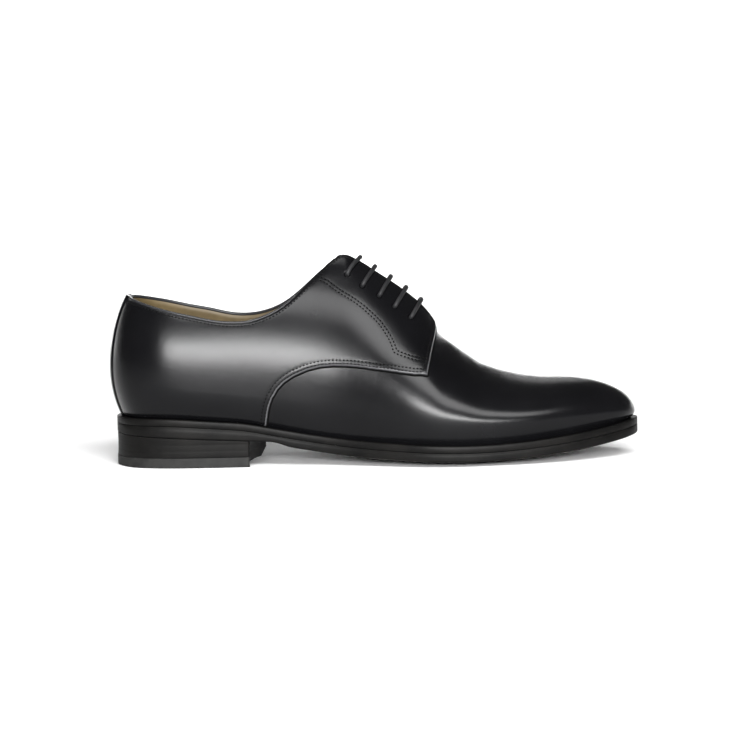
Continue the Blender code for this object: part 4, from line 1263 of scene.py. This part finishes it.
def make_welt():
    """The welt: a flat strip with eased edges, all round the shoe."""
    profile = [(0.0, WELT - 0.55), (0.15, WELT - 0.2), (0.5, WELT), (1.0, WELT - 0.02), (2.0, WELT),
               (-1.0, WELT), (-1.0, -0.1), (0.35, -0.1), (0.1, -0.05), (0.0, 0.12), (0.0, 1.6),
               (0.0, WELT - 0.55)]
    count = len(profile) - 1

    def lay(up, around):
        t = ring_at(around)
        inset, height = stepped(profile, up, count)
        inset = np.where(inset < 0, RING["feather"](t) + WALL + 0.3, inset)
        x, y = edge_point(t, inset)
        return np.stack([x, y, welt_top(x) - WELT + height], -1)

    welt = sheet(count, ROUND_COLUMNS, lay)
    edit(welt, lambda: bpy.ops.mesh.normals_make_consistent(inside=False))
    return own(welt, "welt_strip", "welt_leather", ["welt"], WELT_FINISH)


def sole_top(x):
    """Return the height of the outsole's upper face."""
    return welt_top(x) - WELT - GAP


def sole_bottom(x, share):
    """Return the height of the outsole's underside."""
    seat = SEAT_BACK - SEAT_SLOPE * x
    fore = sole_top(x) - OUTSOLE - CROWN * (1 - (1 - share) ** 2) * fade(x, 112.0, 148.0)
    blend = fade(x, SEAT_END, SEAT_END + 14.0)
    return np.maximum(seat + (fore - seat) * blend, 0.0)


def make_outsole():
    """The outsole: waxed edge, crowned forefoot and a waist that thins towards the heel."""
    rows = [("under", s, 0.0) for s in (1.0, 0.8, 0.6, 0.42, 0.28, 0.16, 0.08, 0.03)]
    rows += [("under", 0.0, 1.0), ("under", 0.0, 0.5), ("edge", 0.08, 0.35), ("edge", 0.0, 0.9),
             ("mid", 0.0, 0.5), ("top", 0.0, 0.12), ("top", 0.1, 0.02), ("over", 0.0, 0.4)]
    rows += [("over", s, 0.0) for s in (0.12, 0.35, 0.65, 1.0)]
    count = len(rows) - 1

    def lay(around, up):
        t = ring_at(around)
        index = np.clip(np.round(up * count).astype(int), 0, count)
        result = np.zeros((len(t), 3))
        for k, (kind, first, second) in enumerate(rows):
            mask = index == k
            tt = t[mask]
            share = first if kind in ("under", "over") else 0.0
            inset = second if kind in ("under", "over") else first
            x, y = edge_point(tt, inset)
            cx, cy = spine_point(tt)
            x, y = x + (cx - x) * share, y + (cy - y) * share
            low, high = sole_bottom(x, share), sole_top(x)
            z = {"under": low, "edge": low + second, "mid": (low + high) / 2, "top": high - second,
                 "over": high}[kind]
            result[mask] = np.stack([x, y, z], -1)
        return result

    sole = sheet(ROUND_COLUMNS, count, lay)
    own(sole, "outsole_leather", "sole_leather", ["outsole"], SOLE_EDGE, UNDERSIDE)
    for face in sole.data.polygons:
        face.material_index = 1 if face.normal.z < -0.8 else 0
    return sole


def heel_outline(inset):
    """Return the plan outline of the heel: round the back, then across the breast."""
    u = np.linspace(0, 1, 4001)
    lengths = [length_at(np.interp(x, edge_point(side_t(s, u), 0)[0], u))
               for s, x in ((-1, BREAST_OUTER), (1, BREAST_INNER))]
    outer = side_t(-1, share_after(np.linspace(0, lengths[0], HEEL_POINTS // 2)))
    inner = side_t(1, share_after(np.linspace(lengths[1], 0, HEEL_POINTS // 2)))
    back = np.stack(edge_point(np.concatenate([inner, outer[1:]]), inset), -1)
    across = np.linspace(0, 1, 40)[1:-1]
    breast = back[-1] + (back[0] - back[-1]) * across[:, None]
    hollow = BREAST_HOLLOW * (1 - (2 * across - 1) ** 2)
    return np.concatenate([back, breast - np.stack([hollow, 0 * hollow], -1)])


def heel_block(levels):
    """Add a block of the heel from (height function, inset) pairs, lowest first."""
    loops = []
    for height, inset in levels:
        plan = heel_outline(inset)
        loops.append(np.column_stack([plan, height(plan[:, 0])]))
    loops = np.array(loops)
    count = loops.shape[1]

    def lay(around, up):
        i = np.round(around * count).astype(int) % count
        k = np.round(up * (len(levels) - 1)).astype(int)
        return loops[k, i]

    block = sheet(count, len(levels) - 1, lay, gap=0.01)
    edit(block, lambda: bpy.ops.mesh.fill_holes(sides=0),
         lambda: bpy.ops.mesh.normals_make_consistent(inside=False))
    return block


def make_heel():
    """The stacked lifts, with the joints between them, and the rubber top piece."""
    def seat(x):
        return SEAT_BACK - SEAT_SLOPE * x - 0.1

    def flat(h):
        return lambda x: 0 * x + h

    inset_at = curve(LIFT_INSETS)
    levels = [(flat(TOP_PIECE), 0.6), (flat(TOP_PIECE + 0.25), float(inset_at(TOP_PIECE)))]
    for joint in LIFT_JOINTS:
        inset = float(inset_at(joint))
        levels += [(flat(joint - JOINT_HALF), inset), (flat(joint), inset + JOINT_DEPTH),
                   (flat(joint + JOINT_HALF), inset)]
    levels += [(lambda x: seat(x) - 0.3, 0.2), (seat, 0.35)]
    stack = heel_block(levels)
    own(stack, "heel_lifts", "heel_leather", ["heel_stack"], LIFTS)
    modify(stack, "WEIGHTED_NORMAL")

    heights = (0.0, 0.15, 0.5, TOP_PIECE - 0.45, TOP_PIECE - 0.1, TOP_PIECE)
    piece = heel_block([(flat(height), TOP_PIECE_OUT + inset)
                        for height, inset in zip(heights, (0.55, 0.2, 0.0, 0.0, 0.15, 0.5))])
    corner = Vector((*heel_outline(TOP_PIECE_OUT)[0], 0.0))
    first, second, third = (corner + Vector(away) for away in CLIP)
    slope = (second - first).cross(third - first)
    if slope.x < 0:
        slope.negate()
    where = Vector(place(np.array(first[:]))[:])
    edit(piece, lambda: bpy.ops.mesh.bisect(plane_co=where, plane_no=slope.normalized(),
                                            use_fill=True, clear_outer=True))
    own(piece, "top_piece", "top_piece_rubber", ["heel_top_piece"], RUBBER)
    modify(piece, "WEIGHTED_NORMAL")


def make_sock():
    """Give the insole under the foot its leather."""
    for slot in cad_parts["insole"].material_slots:
        slot.material = SOCK


make_vamp()
make_quarter(-1)
make_quarter(1)
make_backing_shade()
make_back_strip()
make_lining()
make_binding()
make_tongue()
make_laces()
make_stitching()
make_welt()
make_outsole()
make_heel()
make_sock()


# ---------------------------------------------------------------- studio


# Height of the floor's back wall and size of its sweep, in metres
BACK_WALL = 0.75
BACK_SWEEP = 0.7


def make_floor():
    """A pale floor that sweeps up behind the shoe."""
    bpy.ops.object.select_all(action="DESELECT")
    bpy.ops.mesh.primitive_plane_add(size=14.0, location=(0.0, -4.0, 0.0))
    bpy.ops.object.transform_apply(location=True)
    floor = bpy.context.active_object
    floor.name = "studio_floor"
    bpy.ops.object.mode_set(mode="EDIT")
    bpy.ops.mesh.select_mode(type="EDGE")
    bpy.ops.mesh.select_all(action="DESELECT")

    def on_edges(chosen, step):
        bpy.ops.object.mode_set(mode="OBJECT")
        for line in floor.data.edges:
            line.select = all(chosen(floor.data.vertices[i].co) for i in line.vertices)
        bpy.ops.object.mode_set(mode="EDIT")
        step()

    on_edges(lambda co: co.y > 2.9, lambda: bpy.ops.mesh.extrude_region_move(
        TRANSFORM_OT_translate={"value": (0.0, 0.0, BACK_WALL)}))
    on_edges(lambda co: co.y > 2.9 and co.z < 0.1,
             lambda: bpy.ops.mesh.bevel(offset=BACK_SWEEP, segments=16))
    bpy.ops.object.mode_set(mode="OBJECT")
    floor.data.shade_smooth()
    paint = Paint("studio_white", (0.86, 0.86, 0.86), 0.7)
    mottle = paint.noise(6.0, 2.0)
    paint.set("Base Color", paint.ramp(mottle, (0.3, (0.85, 0.85, 0.85)), (0.7, (0.87, 0.87, 0.87))))
    floor.data.materials.append(paint.material)


def soft_light(name, place_at, aim, width, height, power, spread=180.0):
    """Add a soft box that shines on a point of the shoe."""
    data = bpy.data.lights.new(name, "AREA")
    data.shape, data.size, data.size_y, data.energy = "RECTANGLE", width, height, power
    data.spread = math.radians(spread)
    light = bpy.data.objects.new(name, data)
    light.location = place_at
    light.rotation_euler = (Vector(aim) - Vector(place_at)).to_track_quat("-Z", "Y").to_euler()
    bpy.context.scene.collection.objects.link(light)


def make_camera():
    """Stand the camera where the photograph was taken: low, far off, square to the outer side."""
    down, tilt = math.radians(5.5), math.radians(1.1)
    distance, across, height = 2000.0, 149.06, 50.5
    ahead = np.array([0.0, math.cos(down), -math.sin(down)])
    up = np.array([0.0, math.sin(down), math.cos(down)])
    spot = np.array([across, 0.0, height]) - distance * ahead

    def stand(p, pivot):
        x = p[0] - pivot
        return np.array([pivot + x * math.cos(tilt) + p[2] * math.sin(tilt), p[1],
                         -x * math.sin(tilt) + p[2] * math.cos(tilt)])

    right, up, ahead = stand(np.array([1.0, 0.0, 0.0]), 0.0), stand(up, 0.0), stand(ahead, 0.0)
    data = bpy.data.cameras.new("photo_camera")
    data.sensor_width, data.lens = 36.0, 36.0 * (distance / 0.58) / 750.0
    data.clip_end = 50.0
    camera = bpy.data.objects.new("photo_camera", data)
    turn = Matrix((right, up, -ahead)).transposed()
    camera.matrix_world = Matrix.Translation(Vector(place(stand(spot, 40.0)))) @ turn.to_4x4()
    bpy.context.scene.collection.objects.link(camera)
    bpy.context.scene.camera = camera


make_floor()
soft_light("front", (0.1, -3.9, 0.84), (0.0, 0.0, 0.06), 3.1, 0.62, 335.0)
soft_light("high_front", (0.5, -2.06, 2.0), (0.03, 0.0, 0.05), 2.4, 1.0, 112.0)
soft_light("backdrop", (0.0, 2.8, 3.0), (0.0, 2.8, 0.0), 5.0, 2.4, 112.0, 62.0)
soft_light("floor_wash", (0.0, -0.2, 2.6), (0.0, -0.2, 0.0), 0.9, 0.9, 14.0)
soft_light("behind", (-0.35, 2.3, 1.15), (0.0, 0.0, 0.05), 1.8, 0.6, 3.0)
world = bpy.data.worlds.new("studio")
world.use_nodes = True
sky = world.node_tree.nodes["Background"].inputs
sky[0].default_value, sky[1].default_value = (1.0, 1.0, 1.0, 1.0), 0.1
bpy.context.scene.world = world
view = bpy.context.scene.view_settings
view.view_transform, view.gamma = "Standard", 0.85
make_camera()
